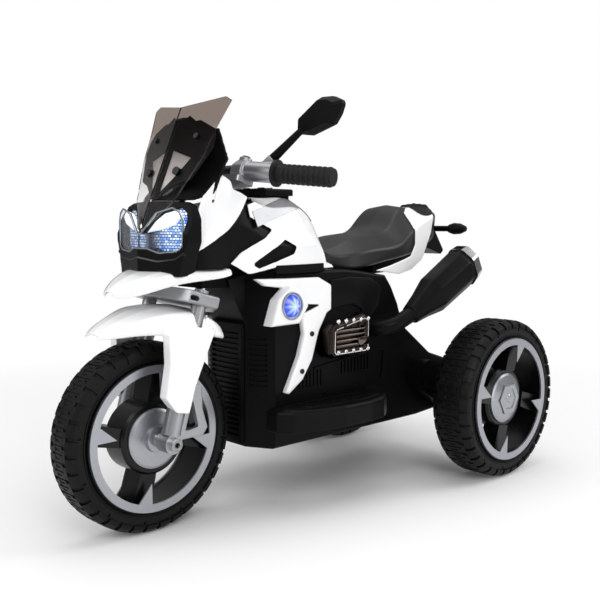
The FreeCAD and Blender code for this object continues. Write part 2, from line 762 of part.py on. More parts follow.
def body_form(depth):
    """Solid of the left body half, moved in by a depth: a narrow front, swept corners and flat sides."""
    front, narrow, wide = number(BODY_FRONT), size("front_half_width"), size("body_half_width")
    plan = [(aft(-60), -50), (front + 40, -50), (front + 40, narrow - 8), (front, narrow),
            (front - size("front_sweep"), wide), (aft(-60), wide)]
    outline = inset(body_outline(), depth) if depth else body_outline()
    return slab(outline, 0, wide).common(pillar(inset(plan, depth) if depth else plan))


def body_shells():
    """Two halves of the black body, joined on the middle, with the steering neck and the axle holes."""
    front, narrow, wide = number(BODY_FRONT), size("front_half_width"), size("body_half_width")
    outer = body_form(0)
    rims = [edge for edge in outer.Edges if edge.BoundBox.YMin > wide - 0.1 and edge.BoundBox.XLength > 1]
    half = outer.makeFillet(6, rims).cut(body_form(size("body_wall")))
    layer = outer.cut(body_form(size("body_wall") / 2))
    grooves = [block(front - size("front_sweep") + 7, front - 4, narrow + 7, wide, h, h + 4)
               for h in range(64, 150, 9)]
    half = half.cut(layer.common(Part.Compound(grooves)))
    louvres = []
    for x, count, low, high in ((-100, 9, 68, 100), (26, 7, 54, 84)):
        louvres += [block(x + 9 * i, x + 9 * i + 4, wide - size("body_wall") / 2, wide + 1, low, high)
                    for i in range(count)]
    half = half.cut(Part.Compound(louvres))
    neck = [(fore(-95), 238), (fore(-126), 362), (fore(-184), 366), (fore(-192), 254), (front + 20, 236)]
    half = half.fuse(slab(neck, 0, size("neck_half_width"))).removeSplitter()
    column = Part.makeCylinder(size("column_radius") + size("running_gap"), size("bar_height"))
    column.Placement = axle_place().inverse() * fork_place()
    axle = Part.makeCylinder(size("axle_radius") + size("running_gap"), wide + 2, Vector(aft(0), -1, 0),
                             Vector(0, 1, 0))
    half = half.cut(column).cut(axle)
    moulding("body_shell_left", half, axle_place())
    moulding("body_shell_right", other_side(half), axle_place())


def radiator():
    """Ribbed black panel on the front of the body."""
    body = body_of("radiator_panel")
    plate = polygon(sketch(body, "YZ_Plane", BODY_FRONT), [
        ("2 - dims.front_half_width", -36), ("dims.front_half_width - 2", -36),
        ("dims.front_half_width - 2", 172), ("2 - dims.front_half_width", 172)])
    pad(body, plate, 8)
    slot = polygon(sketch(body, "YZ_Plane", f"{BODY_FRONT} + 8"), [
        ("8 - dims.front_half_width", -26), ("dims.front_half_width - 8", -26),
        ("dims.front_half_width - 8", -21), ("8 - dims.front_half_width", -21)])
    cut = pocket(body, slot, 4)
    along(body, [cut], "Z_Axis", 180, 21)
    keep(on_axle_line(body), "radiator_panel")


def wedge(nose, sweep, thickness, lean):
    """Folded sheet across the bike: nose is where its fold meets the axle line, lean is its slope back."""
    wide = 160
    end = nose - sweep * wide
    plan = [(nose, 0), (end, wide), (end - thickness, wide), (nose - thickness, 0),
            (end - thickness, -wide), (end, -wide)]
    corners = [Vector(x, y, 0) for x, y in plan]
    face = Part.Face(Part.makePolygon(corners + corners[:1]))
    return face.extrude(Vector(-lean * 620, 0, 620))


def front_outline(half, radius=0):
    """An outline (y, h) on both sides of the middle, carried along the bike."""
    ring = [(y, h) for y, h in half] + [(-y, h) for y, h in reversed(half) if y > 0.01]
    corners = [Vector(-500, y, h) for y, h in ring]
    wire = rounded(corners, radius) if radius else Part.makePolygon(corners + corners[:1])
    return Part.Face(wire).extrude(Vector(1000, 0, 0))


SCREEN_LEAN = 0.4175
SCREEN_NOSE = 143
SCREEN_SWEEP = 0.2
SCREEN_BOLTS = ((38, 429, 7), (56, 485, 5))
SHIELD_NOSE = SCREEN_NOSE - 8
SHIELD_SWEEP = 0.6
LAMP_SWEEP = 0.25
LAMP_NOSE = 5
LAMP_BACK = -46


def screen_bolt(y, h):
    """Where a bolt's head sits on the screen, and the way out of the screen there."""
    seat = Vector(fore(SCREEN_NOSE) - SCREEN_SWEEP * y - SCREEN_LEAN * h, y, h)
    return seat, Vector(1, SCREEN_SWEEP, SCREEN_LEAN).normalize()


def windscreen():
    """Smoked folded screen and the black shield behind it, with the posts that carry the screen."""
    sheet_form = wedge(fore(SCREEN_NOSE), SCREEN_SWEEP, size("screen_thickness"), SCREEN_LEAN)
    outline = [(0, 536), (90, 547), (104, 540), (91, 497), (84, 452), (52, 380), (10, 338), (0, 334)]
    moulding("windscreen", sheet_form.common(front_outline(outline)), axle_place())
    back = wedge(fore(SHIELD_NOSE), SHIELD_SWEEP, 4, SCREEN_LEAN)
    outline = [(0, 508), (62, 500), (90, 449), (86, 392), (58, 382), (0, 382)]
    window = [(0, 470), (26, 448), (32, 410), (18, 392), (0, 388)]
    shield = back.common(front_outline(outline)).cut(front_outline(window))
    posts = []
    for y, h, radius in SCREEN_BOLTS:
        seat, out = screen_bolt(y, h)
        seat = seat - Vector(size("screen_thickness") + 0.05, 0, 0)
        ahead = seat.x - (fore(SHIELD_NOSE) - 2 - SHIELD_SWEEP * y - SCREEN_LEAN * h)
        reach = ahead / (out.x + SHIELD_SWEEP * out.y + SCREEN_LEAN * out.z)
        post = Part.makeCylinder(radius - 1, reach, seat, out * -1)
        posts += [post, other_side(post)]
    moulding("screen_shield", shield.fuse(posts).removeSplitter(), axle_place())


def nose():
    """White cowl beside the shield, dark cheeks below it, the tank cover and its silver bands."""
    stations = skin_stations()
    skin = shell(stations, size("skin"))
    under = shell(stations, size("skin"), 60, size("cheek_inset"))
    room = wedge(fore(SHIELD_NOSE) + size("fit"), SHIELD_SWEEP, 4 + 2 * size("fit"), SCREEN_LEAN)
    room = room.common(block(0, fore(100), -150, 150, 378, 500))
    cowl = [(fore(-108), 452), (fore(-119), 432), (fore(-122), 401), (fore(-140), 396), (fore(-154), 389),
            (fore(-127), 359), (fore(-102), 335), (fore(-66), 312), (fore(LAMP_BACK), 300), (fore(LAMP_BACK), 352),
            (fore(-62), 388), (fore(-84), 410)]
    moulding("nose_cowl", skin.common(slab(cowl, -150, 150)).cut(room), axle_place())
    cheek = [(fore(-140), 392), (fore(-156), 372), (138, 342), (138, 332), (166, 314), (fore(-132), 296),
             (fore(-102), 276), (fore(-90), 272), (fore(LAMP_BACK), 272), (fore(LAMP_BACK), 306),
             (fore(-118), 364)]
    backing = [(132, 342), (92, 312), (98, 286), (186, 264.5), (210, 290)]
    tank = [(fore(-149), 376), (fore(-149), 356), (147, 335), (171, 320), (fore(-125), 299),
            (fore(-103), 281), (fore(-137), 263), (fore(-149), 264), (142, 272), (40, 273), (10, 264),
            (-36, 264), (-40, 300), (20, 430), (128, 430), (128, 396)]
    slot = [(122, 318), (98, 306), (104, 294), (182, 271), (195, 278)]
    dash = block(61, 127, -47, 47, 340, 450)
    form = hull(stations, 1)
    ribs = [form.common(block(x, x + 3, -150, 150, 262.3, 383)) for x in (20, 80)]
    cover = skin.common(slab(tank, -150, 150)).cut(slab(slot, -150, 150, 3)).cut(dash)
    cover = cover.fuse(ribs).removeSplitter()
    moulding("tank_cover", cover, axle_place())
    room = slab(cheek, 60, 150).fuse(slab(backing, 60, 150))
    half = max(under.common(room).Solids, key=lambda solid: solid.Volume)
    moulding("nose_cheeks", both_sides(half), axle_place())
    band = hull(stations, -1.8).cut(hull(stations, 0))
    strip = [(182, 340), (186, 366), (66, 395), (62, 375)]
    band = band.common(slab(strip, 50, 150)).cut(block(-50, 300, 0, 56, 300, 500))
    moulding("tank_bands", both_sides(band), axle_place())


def dash():
    """Black dashboard let into the tank, with room for its two rocker switches."""
    body = body_of("dash_panel")
    pad(body, polygon(sketch(body, "XY_Plane", "383"), [
        (61.3, -46.7), (126.7, -46.7), (126.7, 46.7), (61.3, 46.7)]), 12)
    pad(body, polygon(sketch(body, "XY_Plane", "394"), [
        (56, -52), (122, -54), (134, -40), (134, 40), (122, 54), (56, 52)]), 12)
    wells = sketch(body, "XY_Plane", "406")
    for y in (-20, 20):
        polygon(wells, [(82, y - 9), (106, y - 9), (106, y + 9), (82, y + 9)])
    solid = pocket(body, wells, 10)
    for y in (-20, 20):
        pin_hole = circle(sketch(body, "XZ_Plane", f"-({y}) - 11.2"), 94, 402, "2 + dims.running_gap")
        solid = pocket(body, pin_hole, 22.4, away=True)
    soften(body, "Fillet", solid,
           lambda e: e.BoundBox.ZMin > 405 and e.Length > 20 and e.BoundBox.XMin < 80, 3)
    keep(on_axle_line(body), "dash_panel")
    for label, y in (("power_switch", 20), ("direction_switch", -20)):
        rocker = body_of(label)
        side = polygon(sketch(rocker, "XZ_Plane", f"-({y}) - 8.6"), [
            (83, 402), (84, 409), (94, 405.5), (104, 409), (105, 402), (94, 398)])
        pad(rocker, side, 17.2)
        tube_y(rocker, 94, 402, 2, y - 11, y + 11)
        keep(on_axle_line(rocker), label)


def beak_hull(depth=0, foot=0):
    """Form of the beak, from its tip back to the tank."""
    stations = [
        (62, [240, (6, 239.5), (12, 238), (13, 230)]),
        (32, [260, (30, 257), (48, 249), (51, 233)]),
        (-11, [272, (48, 270.5), (70, 266), (75, 246)]),
        (-56, [275, (62, 273.5), (90, 269), (94, 254)]),
        (-102, [278, (74, 276.5), (104, 273), (108, 262)])]
    return hull([(fore(x), half) for x, half in stations], depth, foot)


def beak():
    """White beak under the headlamp, with an arm back to the tank on each side."""
    neck = block(fore(-140), fore(-60), -46, 46, 200, 320)
    moulding("beak", beak_hull().cut(beak_hull(size("skin"), 40)).cut(neck), axle_place())


def headlamp():
    """Headlamp: black housing, bright reflector and a clear two-lobed lens."""
    face = fore(LAMP_NOSE)
    lens = [(0, 329), (6, 330), (38, 362), (70, 370), (84, 363), (91, 349), (89, 309), (78, 302), (42, 299),
            (18, 306), (0, 306)]
    case = [(0, 381), (72, 379.5), (90, 374), (101, 354), (101, 316), (92, 298), (82, 262), (14, 262), (0, 261)]
    opening = front_outline(lens)
    moulding("headlamp_lens", wedge(face, LAMP_SWEEP, 3, 0).common(opening), axle_place())
    moulding("headlamp_reflector", wedge(face - 21, LAMP_SWEEP, 8, 0).common(opening), axle_place())
    shade = wedge(face + 2, LAMP_SWEEP, 62, 0).common(front_outline(case, 4))
    shade = shade.common(block(fore(LAMP_BACK) + size("fit"), fore(60), -120, 120, 200, 420))
    bowl = wedge(face + 3, LAMP_SWEEP, 32, 0).common(opening)
    screen = wedge(fore(SCREEN_NOSE) + 400, SCREEN_SWEEP, 403 + size("fit"), SCREEN_LEAN)
    housing = shade.cut(bowl).cut(screen).cut(beak_hull(-size("fit")))
    moulding("headlamp_housing", housing, axle_place())


def side_fairings():
    """White L-shaped fairing with a raised lamp pod on each side of the body, and the round lamps."""
    body = body_of("side_fairing")
    inner = "-dims.body_half_width"
    outline = [(190, 254), (168, 241), (120, 235), (100, 222), (91, 200), (84, 178), (79, 153), (91, 114),
               (122, 54), (115, 50), (82, 72), (59, 105), (42, 155), (22, 186), (11, 191), (11, 236), (42, 251),
               (114, 252)]
    sheet_form = pad(body, polygon(sketch(body, "XZ_Plane", inner), outline), "dims.fairing_depth", away=True)
    outer = size("body_half_width") + size("fairing_depth")
    soften(body, "Fillet", sheet_form, lambda e: e.BoundBox.YMin > outer - 0.1, 4)
    teardrop = [(122, 240), (150, 217), (166, 173), (102, 174), (80, 204), (94, 229)]
    pod = pad(body, polygon(sketch(body, "XZ_Plane", inner), teardrop), "dims.pod_depth", away=True)
    top = size("body_half_width") + size("pod_depth")
    soften(body, "Fillet", pod, lambda e: e.BoundBox.YMin > top - 0.1, 6)
    front = f"{inner} - dims.pod_depth - 1"
    window = polygon(sketch(body, "XZ_Plane", front), [(77, 205), (36, 202), (80, 189)])
    pocket(body, window, "dims.pod_depth", away=True)
    socket = circle(sketch(body, "XZ_Plane", front), 122, 206, "dims.lamp_radius")
    pocket(body, socket, 15, away=True)
    left = keep(on_axle_line(body), "side_fairing_left")
    keep(mirrored(left), "side_fairing_right")
    lamp = body_of("side_lamp")
    seat = "dims.body_half_width + dims.pod_depth - 14"
    drawing = polygon(sketch(lamp, "XY_Plane"), [
        (0, seat), ("dims.lamp_radius", seat), ("dims.lamp_radius", f"{seat} + 13"),
        ("dims.lamp_radius * 0.7", f"{seat} + 19"), (0, f"{seat} + 21")])
    revolve(lamp, drawing)
    lamp.Placement = Placement(Vector(122, 0, 206), Rotation())
    keep(on_axle_line(grouped([lamp, mirrored(lamp)])), "side_lamps")


def engine_covers():
    """Chromed engine cover on each side, finned across, with a row of bolts along its edges."""
    body = body_of("engine_cover")
    inner = "-dims.body_half_width"
    outline = [(-66, 116), (-56, 106), (28, 106), (37, 114), (36, 156), (27, 166), (-50, 182), (-68, 174)]
    solid = pad(body, polygon(sketch(body, "XZ_Plane", inner), outline), "dims.engine_depth", away=True)
    outer = size("body_half_width") + size("engine_depth")
    soften(body, "Fillet", solid, lambda e: e.BoundBox.YMin > outer - 0.1, 8)
    fin = polygon(sketch(body, "XZ_Plane", f"{inner} - dims.engine_depth"), [
        (-48, 121), (26, 121), (26, 125), (-48, 125)])
    fins = pocket(body, fin, 6, away=True)
    along(body, [fins], "Z_Axis", 36, 5)
    bolt = circle(sketch(body, "XZ_Plane", f"{inner} - dims.engine_depth + 1"), -54, 162, 3.5)
    head = pad(body, bolt, 3, away=True)
    along(body, [head], "X_Axis", 76, 5)
    left = on_axle_line(body)
    keep(grouped([left, mirrored(left)]), "engine_covers")


PEDAL = {"x0": -2, "x1": 98, "y0": 110, "y1": 152, "pin_x": 8, "pin_drop": 8, "depth": 20}


def footboards():
    """Black step on each side; the right one holds the accelerator pedal."""
    body = body_of("footboard")
    wall = "dims.body_half_width"
    outer = "dims.step_half_width"
    plan = [(f"{BODY_FRONT} - dims.front_sweep", wall), (162, f"{wall} + 4"), (167, f"{wall} + 36"),
            (144, f"{outer} - 27"), (100, f"{outer} - 13"), (44, f"{outer} - 2"), (-18, outer),
            (-62, f"{outer} - 8"), (-92, f"{outer} - 28"), (-100, wall)]
    base = sketch(body, "XY_Plane", "dims.step_top - dims.step_depth")
    solid = pad(body, polygon(base, plan), "dims.step_depth")
    top = size("step_top")
    soften(body, "Fillet", solid, lambda e: abs(e.BoundBox.ZMin - top) < 0.1
           and e.BoundBox.YMax > size("body_half_width") + 0.1, 7)
    tread = polygon(sketch(body, "XY_Plane", "dims.step_top"), [
        (-76, f"{wall} + 14"), (104, f"{wall} + 14"), (104, f"{outer} - 32"), (40, f"{outer} - 20"),
        (-20, f"{outer} - 18"), (-62, f"{outer} - 26"), (-76, f"{outer} - 36")])
    pad(body, tread, 2)
    groove = polygon(sketch(body, "XY_Plane", "dims.step_top + 2"), [
        (-66, f"{wall} + 20"), (-61, f"{wall} + 20"), (-61, f"{outer} - 42"), (-66, f"{outer} - 42")])
    cut = pocket(body, groove, 2)
    along(body, [cut], "X_Axis", 156, 13)
    left = keep(on_axle_line(body), "footboard_left")
    well = doc.addObject("Part::Box", "pedal_well")
    well.Length = PEDAL["x1"] - PEDAL["x0"]
    well.Width = PEDAL["y1"] - PEDAL["y0"]
    well.Height = PEDAL["depth"] + 30
    well.Placement.Base = Vector(PEDAL["x0"], -PEDAL["y1"], 0)
    well.setExpression("Placement.Base.z", f"dims.tyre_radius + dims.step_top - {PEDAL['depth']}")
    pin = cylinder("4 + dims.running_gap", PEDAL["y1"] - PEDAL["y0"] + 12,
                   Placement(Vector(PEDAL["pin_x"], 6 - PEDAL["y0"], 0), Rotation(Vector(1, 0, 0), 90)))
    pin.setExpression("Placement.Base.z", f"dims.tyre_radius + dims.step_top - {PEDAL['pin_drop']}")
    keep(minus(minus(mirrored(left), well), pin), "footboard_right")
    plate = [(2, -13), (1, -3), (90, 13), (96, 12), (96, 6), (30, -12)]
    outline = [(x, top + h) for x, h in plate]
    pedal = slab(outline, -PEDAL["y1"] + 0.5, -PEDAL["y0"] - 0.5, 1.5)
    hinge = Vector(PEDAL["pin_x"], 5 - PEDAL["y0"], top - PEDAL["pin_drop"])
    rod = Part.makeCylinder(4, PEDAL["y1"] - PEDAL["y0"] + 10, hinge, Vector(0, -1, 0))
    moulding("throttle_pedal", pedal.fuse(rod).removeSplitter(), axle_place())


def seat_and_tail():
    """Moulded seat, white tail panels, the black undertail and its turn signals."""
    under = [(x, h + size("fit")) for x, h in body_outline()]
    form = hull(SEAT_STATIONS)
    moulding("seat", form.cut(slab(under, -150, 150)), axle_place())
    panel = hull(SEAT_STATIONS, -size("fit") - size("skin"), 60).cut(hull(SEAT_STATIONS, -size("fit"), 70))
    outline = [(-250, 366), (-262, 376), (-318, 384), (-334, 378), (-318, 325), (-284, 272), (-242, 252),
               (-198, 245), (-126, 255), (-170, 263), (-238, 280), (-254, 302)]
    half = panel.common(slab(outline, 20, 150)).cut(form)
    moulding("tail_panel_left", half, axle_place())
    moulding("tail_panel_right", other_side(half), axle_place())
    stations = [
        (-150, [266.4, (40, 266), (60, 264.5), (60, 247)]),
        (-205, [274.4, (40, 274), (60, 272.5), (58, 250)]),
        (-262, [283.4, (40, 283), (56, 281.5), (54, 260)]),
        (-346, [315.4, (30, 315), (40, 313.5), (38, 292)])]
    tray = hull(stations, 0, 0, 2)
    flap = slab([(-322, 310), (-351, 308), (-352, 352), (-372, 350), (-418, 286), (-408, 278), (-350, 296)],
                -30, 30, 4)
    arm = slab([(-351, 306), (-354, 352), (-372, 350), (-366, 310)], -34, 34, 3)
    undertail = tray.fuse([flap, arm]).removeSplitter().cut(form)
    moulding("undertail", undertail, axle_place())
    foot = Vector(-362, 34, 334)
    stem = Part.makeCylinder(6, 62, foot, Vector(0.12, 1, 0))
    tip = foot + Vector(0.12, 1, 0).normalize() * 60
    outline = [(0, 0), (9, 0), (12, 12), (11, 28), (6, 42), (0, 44)]
    corners = [Vector(r, 0, s) for r, s in outline]
    head = Part.Face(Part.makePolygon(corners + corners[:1])).revolve(Vector(), Vector(0, 0, 1), 360)
    head.transformShape(Placement(tip, Rotation(Vector(0, 0, 1), Vector(0.12, 1, 0))).toMatrix(), True)
    signal = stem.fuse(head).removeSplitter().cut(undertail)
    moulding("turn_signals", both_sides(signal), axle_place())


def oval(middle, way, tall, wide, radius):
    """Rounded section square to a way in the side view, about a point."""
    up = Vector(way.z, 0, -way.x)
    across = Vector(0, 1, 0)
    quarter = [(1, 0.45), (0.45, 1)]
    ring = quarter + [(-a, b) for a, b in reversed(quarter)]
    ring += [(a, -b) for a, b in reversed(ring)]
    corners = [middle + up * (tall * a) + across * (wide * b) for a, b in ring]
    return rounded(corners, radius)


def exhausts():
    """Raised muffler on each side with its pipe out of the body and a chromed end."""
    way = Vector(-0.885, 0, 0.466)
    start = Vector(-158, size("muffler_y"), 172)
    sizes = [(0, 18, 18), (34, 25, 23), (74, 36, 31), (170, 38, 33), (200, 34, 29)]
    can = Part.makeLoft([oval(start + way * s, way, tall, wide, 10) for s, tall, wide in sizes], True, True)
    entry = Vector(-92, size("body_half_width"), 148)
    bend = Vector(-104, size("muffler_y") - 6, 150)
    legs = [entry, bend, start + way * 4]
    half_a = (legs[0] - legs[1]).normalize()
    half_b = (legs[2] - legs[1]).normalize()
    angle = half_a.getAngle(half_b) / 2
    back = min((legs[0] - legs[1]).Length, (legs[2] - legs[1]).Length) * 0.6
    radius = back * math.tan(angle)
    centre = legs[1] + (half_a + half_b).normalize() * (radius / math.sin(angle))
    middle = centre + (legs[1] - centre).normalize() * radius
    path = Part.Wire([Part.LineSegment(legs[0], legs[1] + half_a * back).toShape(),
                      Part.Arc(legs[1] + half_a * back, middle, legs[1] + half_b * back).toShape(),
                      Part.LineSegment(legs[1] + half_b * back, legs[2]).toShape()])
    ring = Part.Wire(Part.Circle(legs[0], legs[1] - legs[0], size("pipe_radius")).toShape())
    pipe = path.makePipeShell([ring], True, False)
    wide = size("body_half_width")
    muffler = can.fuse(pipe).removeSplitter().cut(block(-300, 100, 0, wide, 0, 400))
    moulding("muffler_left", muffler, axle_place())
    moulding("muffler_right", other_side(muffler), axle_place())
    band = size("tip_band")
    end = [(206 - band, 40, 35), (202, 38, 33), (206, 34, 29)]
    cap = Part.makeLoft([oval(start + way * s, way, tall, wide, 10) for s, tall, wide in end], True, True)
    mouth = Part.makeCylinder(16, 12, start + way * 202, way)
    tip = cap.cut(mouth).cut(can)
    moulding("muffler_tips", both_sides(tip), axle_place())


def drive():
    """Rear axle, gearboxes with their motors, and the battery in the body."""
    axle = body_of("rear_axle")
    end = "dims.rear_track / 2 + dims.rear_tyre_width / 2 + 1 - dims.rear_hub_inset - dims.fit"
    tube_y(axle, 0, 0, "dims.axle_radius", f"-({end})", end)
    keep(on_axle_line(axle, REAR_AXLE), "rear_axle")
    wall = size("body_half_width")
    inner_hub = size("rear_track") / 2 - size("rear_tyre_width") / 2 + 3
    motor = Vector(aft(96), 0, 40)
    hub = Vector(aft(0), 0, 0)
    big, small = 46, 33
    apart = motor - hub
    lean = math.acos((big - small) / apart.Length)
    base = math.atan2(apart.z, apart.x)
    touch = []
    for turn in (lean, -lean):
        ray = Vector(math.cos(base + turn), 0, math.sin(base + turn))
        touch.append((hub + ray * big, motor + ray * small))
    far = hub - apart.normalize() * big
    near = motor + apart.normalize() * small
    wire = Part.Wire([Part.LineSegment(touch[0][0], touch[0][1]).toShape(),
                      Part.Arc(touch[0][1], near, touch[1][1]).toShape(),
                      Part.LineSegment(touch[1][1], touch[1][0]).toShape(),
                      Part.Arc(touch[1][0], far, touch[0][0]).toShape()])
    case = Part.Face(wire).extrude(Vector(0, 34, 0))
    case.translate(Vector(0, wall, 0))
    boss = Part.makeCylinder(30, inner_hub - size("fit") - wall - 30,
                             hub + Vector(0, wall + 30, 0), Vector(0, 1, 0))
    cover = Part.makeCylinder(26, 10, motor + Vector(0, wall + 30, 0), Vector(0, 1, 0))
    bore = Part.makeCylinder(size("axle_radius") + size("running_gap"), 200, hub, Vector(0, 1, 0))
    box = case.fuse([boss, cover]).removeSplitter().cut(bore)
    for side, turned in (("left", box), ("right", other_side(box))):
        moulding("gearbox_" + side, turned, axle_place())
    battery = body_of("battery")
    floor = "-dims.belly + dims.body_wall"
    case_plan = polygon(sketch(battery, "XY_Plane", floor), [(-70, -45), (20, -45), (20, 45), (-70, 45)])
    solid = pad(battery, case_plan, 101)
    soften(battery, "Fillet", solid, lambda e: e.BoundBox.ZLength > 90, 4)
    posts = sketch(battery, "XY_Plane", f"{floor} + 101")
    for y in (-25, 25):
        polygon(posts, [(-62, y - 4), (-54, y - 4), (-54, y + 4), (-62, y + 4)])
    pad(battery, posts, 6)
    keep(on_axle_line(battery), "battery")


def screws():
    """Bolt heads on the screen and the side fairings."""
    heads = []
    for y, h, radius in SCREEN_BOLTS:
        seat, out = screen_bolt(y, h)
        heads.append(Part.makeCylinder(radius, 2.5, seat, out))
    outer = size("body_half_width") + size("fairing_depth")
    for x, h in ((62, 152), (86, 88)):
        heads.append(Part.makeCylinder(4.5, 2, Vector(x, outer, h), Vector(0, 1, 0)))
    group = [piece for head in heads for piece in (head, other_side(head))]
    moulding("panel_screws", Part.Compound(group), axle_place())


wheels()
fork()
bars()
mudguard()
body_shells()
radiator()
windscreen()
nose()
dash()
beak()
headlamp()
side_fairings()
engine_covers()
footboards()
seat_and_tail()
exhausts()
drive()
screws()
doc.recompute()
for item in doc.Objects:
    if "Invalid" in item.State or "Error" in item.State:
        raise RuntimeError(f"{item.Label} did not build: {item.State}")
for item in nodes:
    if item.Shape.isNull() or not item.Shape.isValid():
        raise RuntimeError(f"{item.Label} has a bad shape")
os.makedirs("parts", exist_ok=True)
for item in nodes:
    item.Shape.exportStep(f"parts/{item.Label}.step")
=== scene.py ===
"""Looks of a child's battery ride-on motorbike, dressed on its fixed frame and shown in a pale studio."""
import json
import math

import bpy
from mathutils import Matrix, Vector


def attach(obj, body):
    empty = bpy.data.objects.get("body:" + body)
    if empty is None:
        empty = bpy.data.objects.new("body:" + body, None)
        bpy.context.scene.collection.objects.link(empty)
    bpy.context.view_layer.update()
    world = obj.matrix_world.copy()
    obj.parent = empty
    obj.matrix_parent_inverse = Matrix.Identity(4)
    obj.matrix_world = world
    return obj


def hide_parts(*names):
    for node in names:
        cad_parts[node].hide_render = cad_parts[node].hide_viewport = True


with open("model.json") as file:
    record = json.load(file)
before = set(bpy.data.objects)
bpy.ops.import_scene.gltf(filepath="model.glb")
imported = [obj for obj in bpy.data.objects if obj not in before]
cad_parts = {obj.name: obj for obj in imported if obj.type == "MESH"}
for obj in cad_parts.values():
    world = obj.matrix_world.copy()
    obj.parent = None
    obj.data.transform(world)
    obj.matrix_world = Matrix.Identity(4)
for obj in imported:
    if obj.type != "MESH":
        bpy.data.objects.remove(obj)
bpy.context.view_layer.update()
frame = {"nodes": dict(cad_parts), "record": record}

bl_info = {
    "name": "Ride-on motorbike looks",
    "version": (1, 0, 0),
    "blender": (4, 5, 0),
    "location": "View3D > Sidebar > Motorbike",
    "description": "Dresses the motorbike's frame with tyres, lamps, glass and finishes",
    "category": "Object",
}

# Places and slopes of the frame, in metres; outlines are drawn in millimetres
MM = 0.001
AXLE_HEIGHT = 0.156
FRONT_AXLE = Vector((0.3415, 0, AXLE_HEIGHT))
REAR_AXLE = Vector((-0.3415, 0.219, AXLE_HEIGHT))
SIDE_LAMP = Vector((0.122, 0, 0.362))
MIRROR_MIDDLE = Vector((0.1068, 0.180, 0.6749))
MIRROR_GLASS_SCALE = 0.00083
EXHAUST_START = Vector((-0.158, 0.150, 0.328))
EXHAUST_WAY = Vector((-0.885, 0, 0.466)).normalized()
EXHAUST_LENGTH = 0.206
ENGINE_FACE = 0.1300
NOSE_SWEEP = 0.00025
SCREEN_SWEEP, SCREEN_TILT, SCREEN_FOOT = 0.0002, 0.0004175, 156
ACROSS = (0, 1, 0)

# Tyres
TYRE_RADIUS = AXLE_HEIGHT
TREAD_STEPS = 288
TREAD_SINK = 0.62
TREAD_FLOOR = 0.147
SHOULDER_FLOOR = 0.1415

# Studio: place, aim, width in metres and power in watts of each lamp
LAMPS = (
    ((1.5, 2.4, 2.1), (0, 0, 0.3), 1.6, 39),
    ((2.6, -0.9, 1.7), (0, 0, 0.3), 1.6, 24),
    ((-2.0, 1.4, 1.7), (0, 0, 0.3), 1.4, 20.5),
    ((0, 0, 2.8), (0, 0, 0), 2.2, 24),
    ((-0.5, 2.6, 0.5), (-0.2, 0, 0.4), 1.2, 9))
CAMERA_TARGET = Vector((-0.01115, 0, 0.35584))
CAMERA_TURN, CAMERA_RISE, CAMERA_AWAY = math.radians(136.45), math.radians(5.29), 1.6121
FLOOR_WIDTH, SENSOR_WIDTH = 24, 36
SHADOW_REACH = (0.3, 1.7)
SKY_LOW, SKY_HIGH, SKY_TOP = 0.16, 0.62, 0.9


def colour_prop(name, words, value):
    """A colour that a user may change."""
    return bpy.props.FloatVectorProperty(name=name, description=words, subtype="COLOR", size=3, min=0, max=1,
                                         default=value)


def length_prop(name, words, value):
    """A length that a user may change."""
    return bpy.props.FloatProperty(name=name, description=words, subtype="DISTANCE", unit="LENGTH", default=value)


class MotorbikeColours(bpy.types.PropertyGroup):
    """Colours of the finishes."""
    white: colour_prop("White mouldings", "Gloss plastic of the fairing and mudguard", (0.88, 0.885, 0.89))
    black: colour_prop("Black mouldings", "Grained plastic of the body", (0.0026, 0.0026, 0.003))
    seat: colour_prop("Seat", "Moulded seat", (0.007, 0.007, 0.008))
    rubber: colour_prop("Tyres", "Tyre compound", (0.0042, 0.0042, 0.0048))
    rim: colour_prop("Rims", "Black wheel rims", (0.003, 0.003, 0.0033))
    silver: colour_prop("Bright silver", "Rings and hub discs", (0.36, 0.37, 0.4))
    dull_silver: colour_prop("Dull silver", "Fork, yoke and clamps", (0.36, 0.365, 0.38))
    smoke: colour_prop("Screen", "Smoked windscreen", (0.24, 0.195, 0.172))
    blue: colour_prop("Blue lamps", "Light of the lamps", (0.05, 0.12, 0.95))
    chrome: colour_prop("Engine covers", "Dark chrome", (0.15, 0.118, 0.104))
    floor: colour_prop("Floor", "Studio floor", (0.9, 0.9, 0.9))


class MotorbikeSizes(bpy.types.PropertyGroup):
    """Sizes of the pieces made here."""
    tread_depth: length_prop("Tread depth", "Height of the tread blocks", 0.0034)
    glass_bevel: length_prop("Mirror glass bevel", "Ground edge of the mirror glass", 0.0012)
    hub_relief: length_prop("Hub relief", "Radius of the raised ring on the rear hub caps", 0.033)
    camera_lens: bpy.props.FloatProperty(name="Lens", description="Focal length on a 36 mm sensor", unit="CAMERA",
                                         default=50.74)


def colours():
    """The scene's colours."""
    return bpy.context.scene.motorbike_colours


def sizes():
    """The scene's sizes."""
    return bpy.context.scene.motorbike_sizes


# Node trees

def fill(node, **values):
    """Sets a node's inputs by name."""
    for name, value in values.items():
        node.inputs[name.replace("_", " ")].default_value = value
    return node


def put(tree, kind, **values):
    """A node with its inputs set by name."""
    return fill(tree.nodes.new("ShaderNode" + kind), **values)


def link(tree, source, target):
    """Joins two sockets."""
    tree.links.new(source, target)


def feed(tree, target, value):
    """Gives a socket a number, a colour or the socket it comes from."""
    if isinstance(value, bpy.types.NodeSocket):
        link(tree, value, target)
    else:
        target.default_value = value


def calc(tree, operation, *values):
    """A sum of numbers and sockets."""
    node = put(tree, "Math")
    node.operation = operation
    for target, value in zip(node.inputs, values):
        feed(tree, target, value)
    return node.outputs[0]


def length(tree, vector):
    """The length of a vector."""
    node = put(tree, "VectorMath")
    node.operation = "LENGTH"
    link(tree, vector, node.inputs[0])
    return node.outputs["Value"]


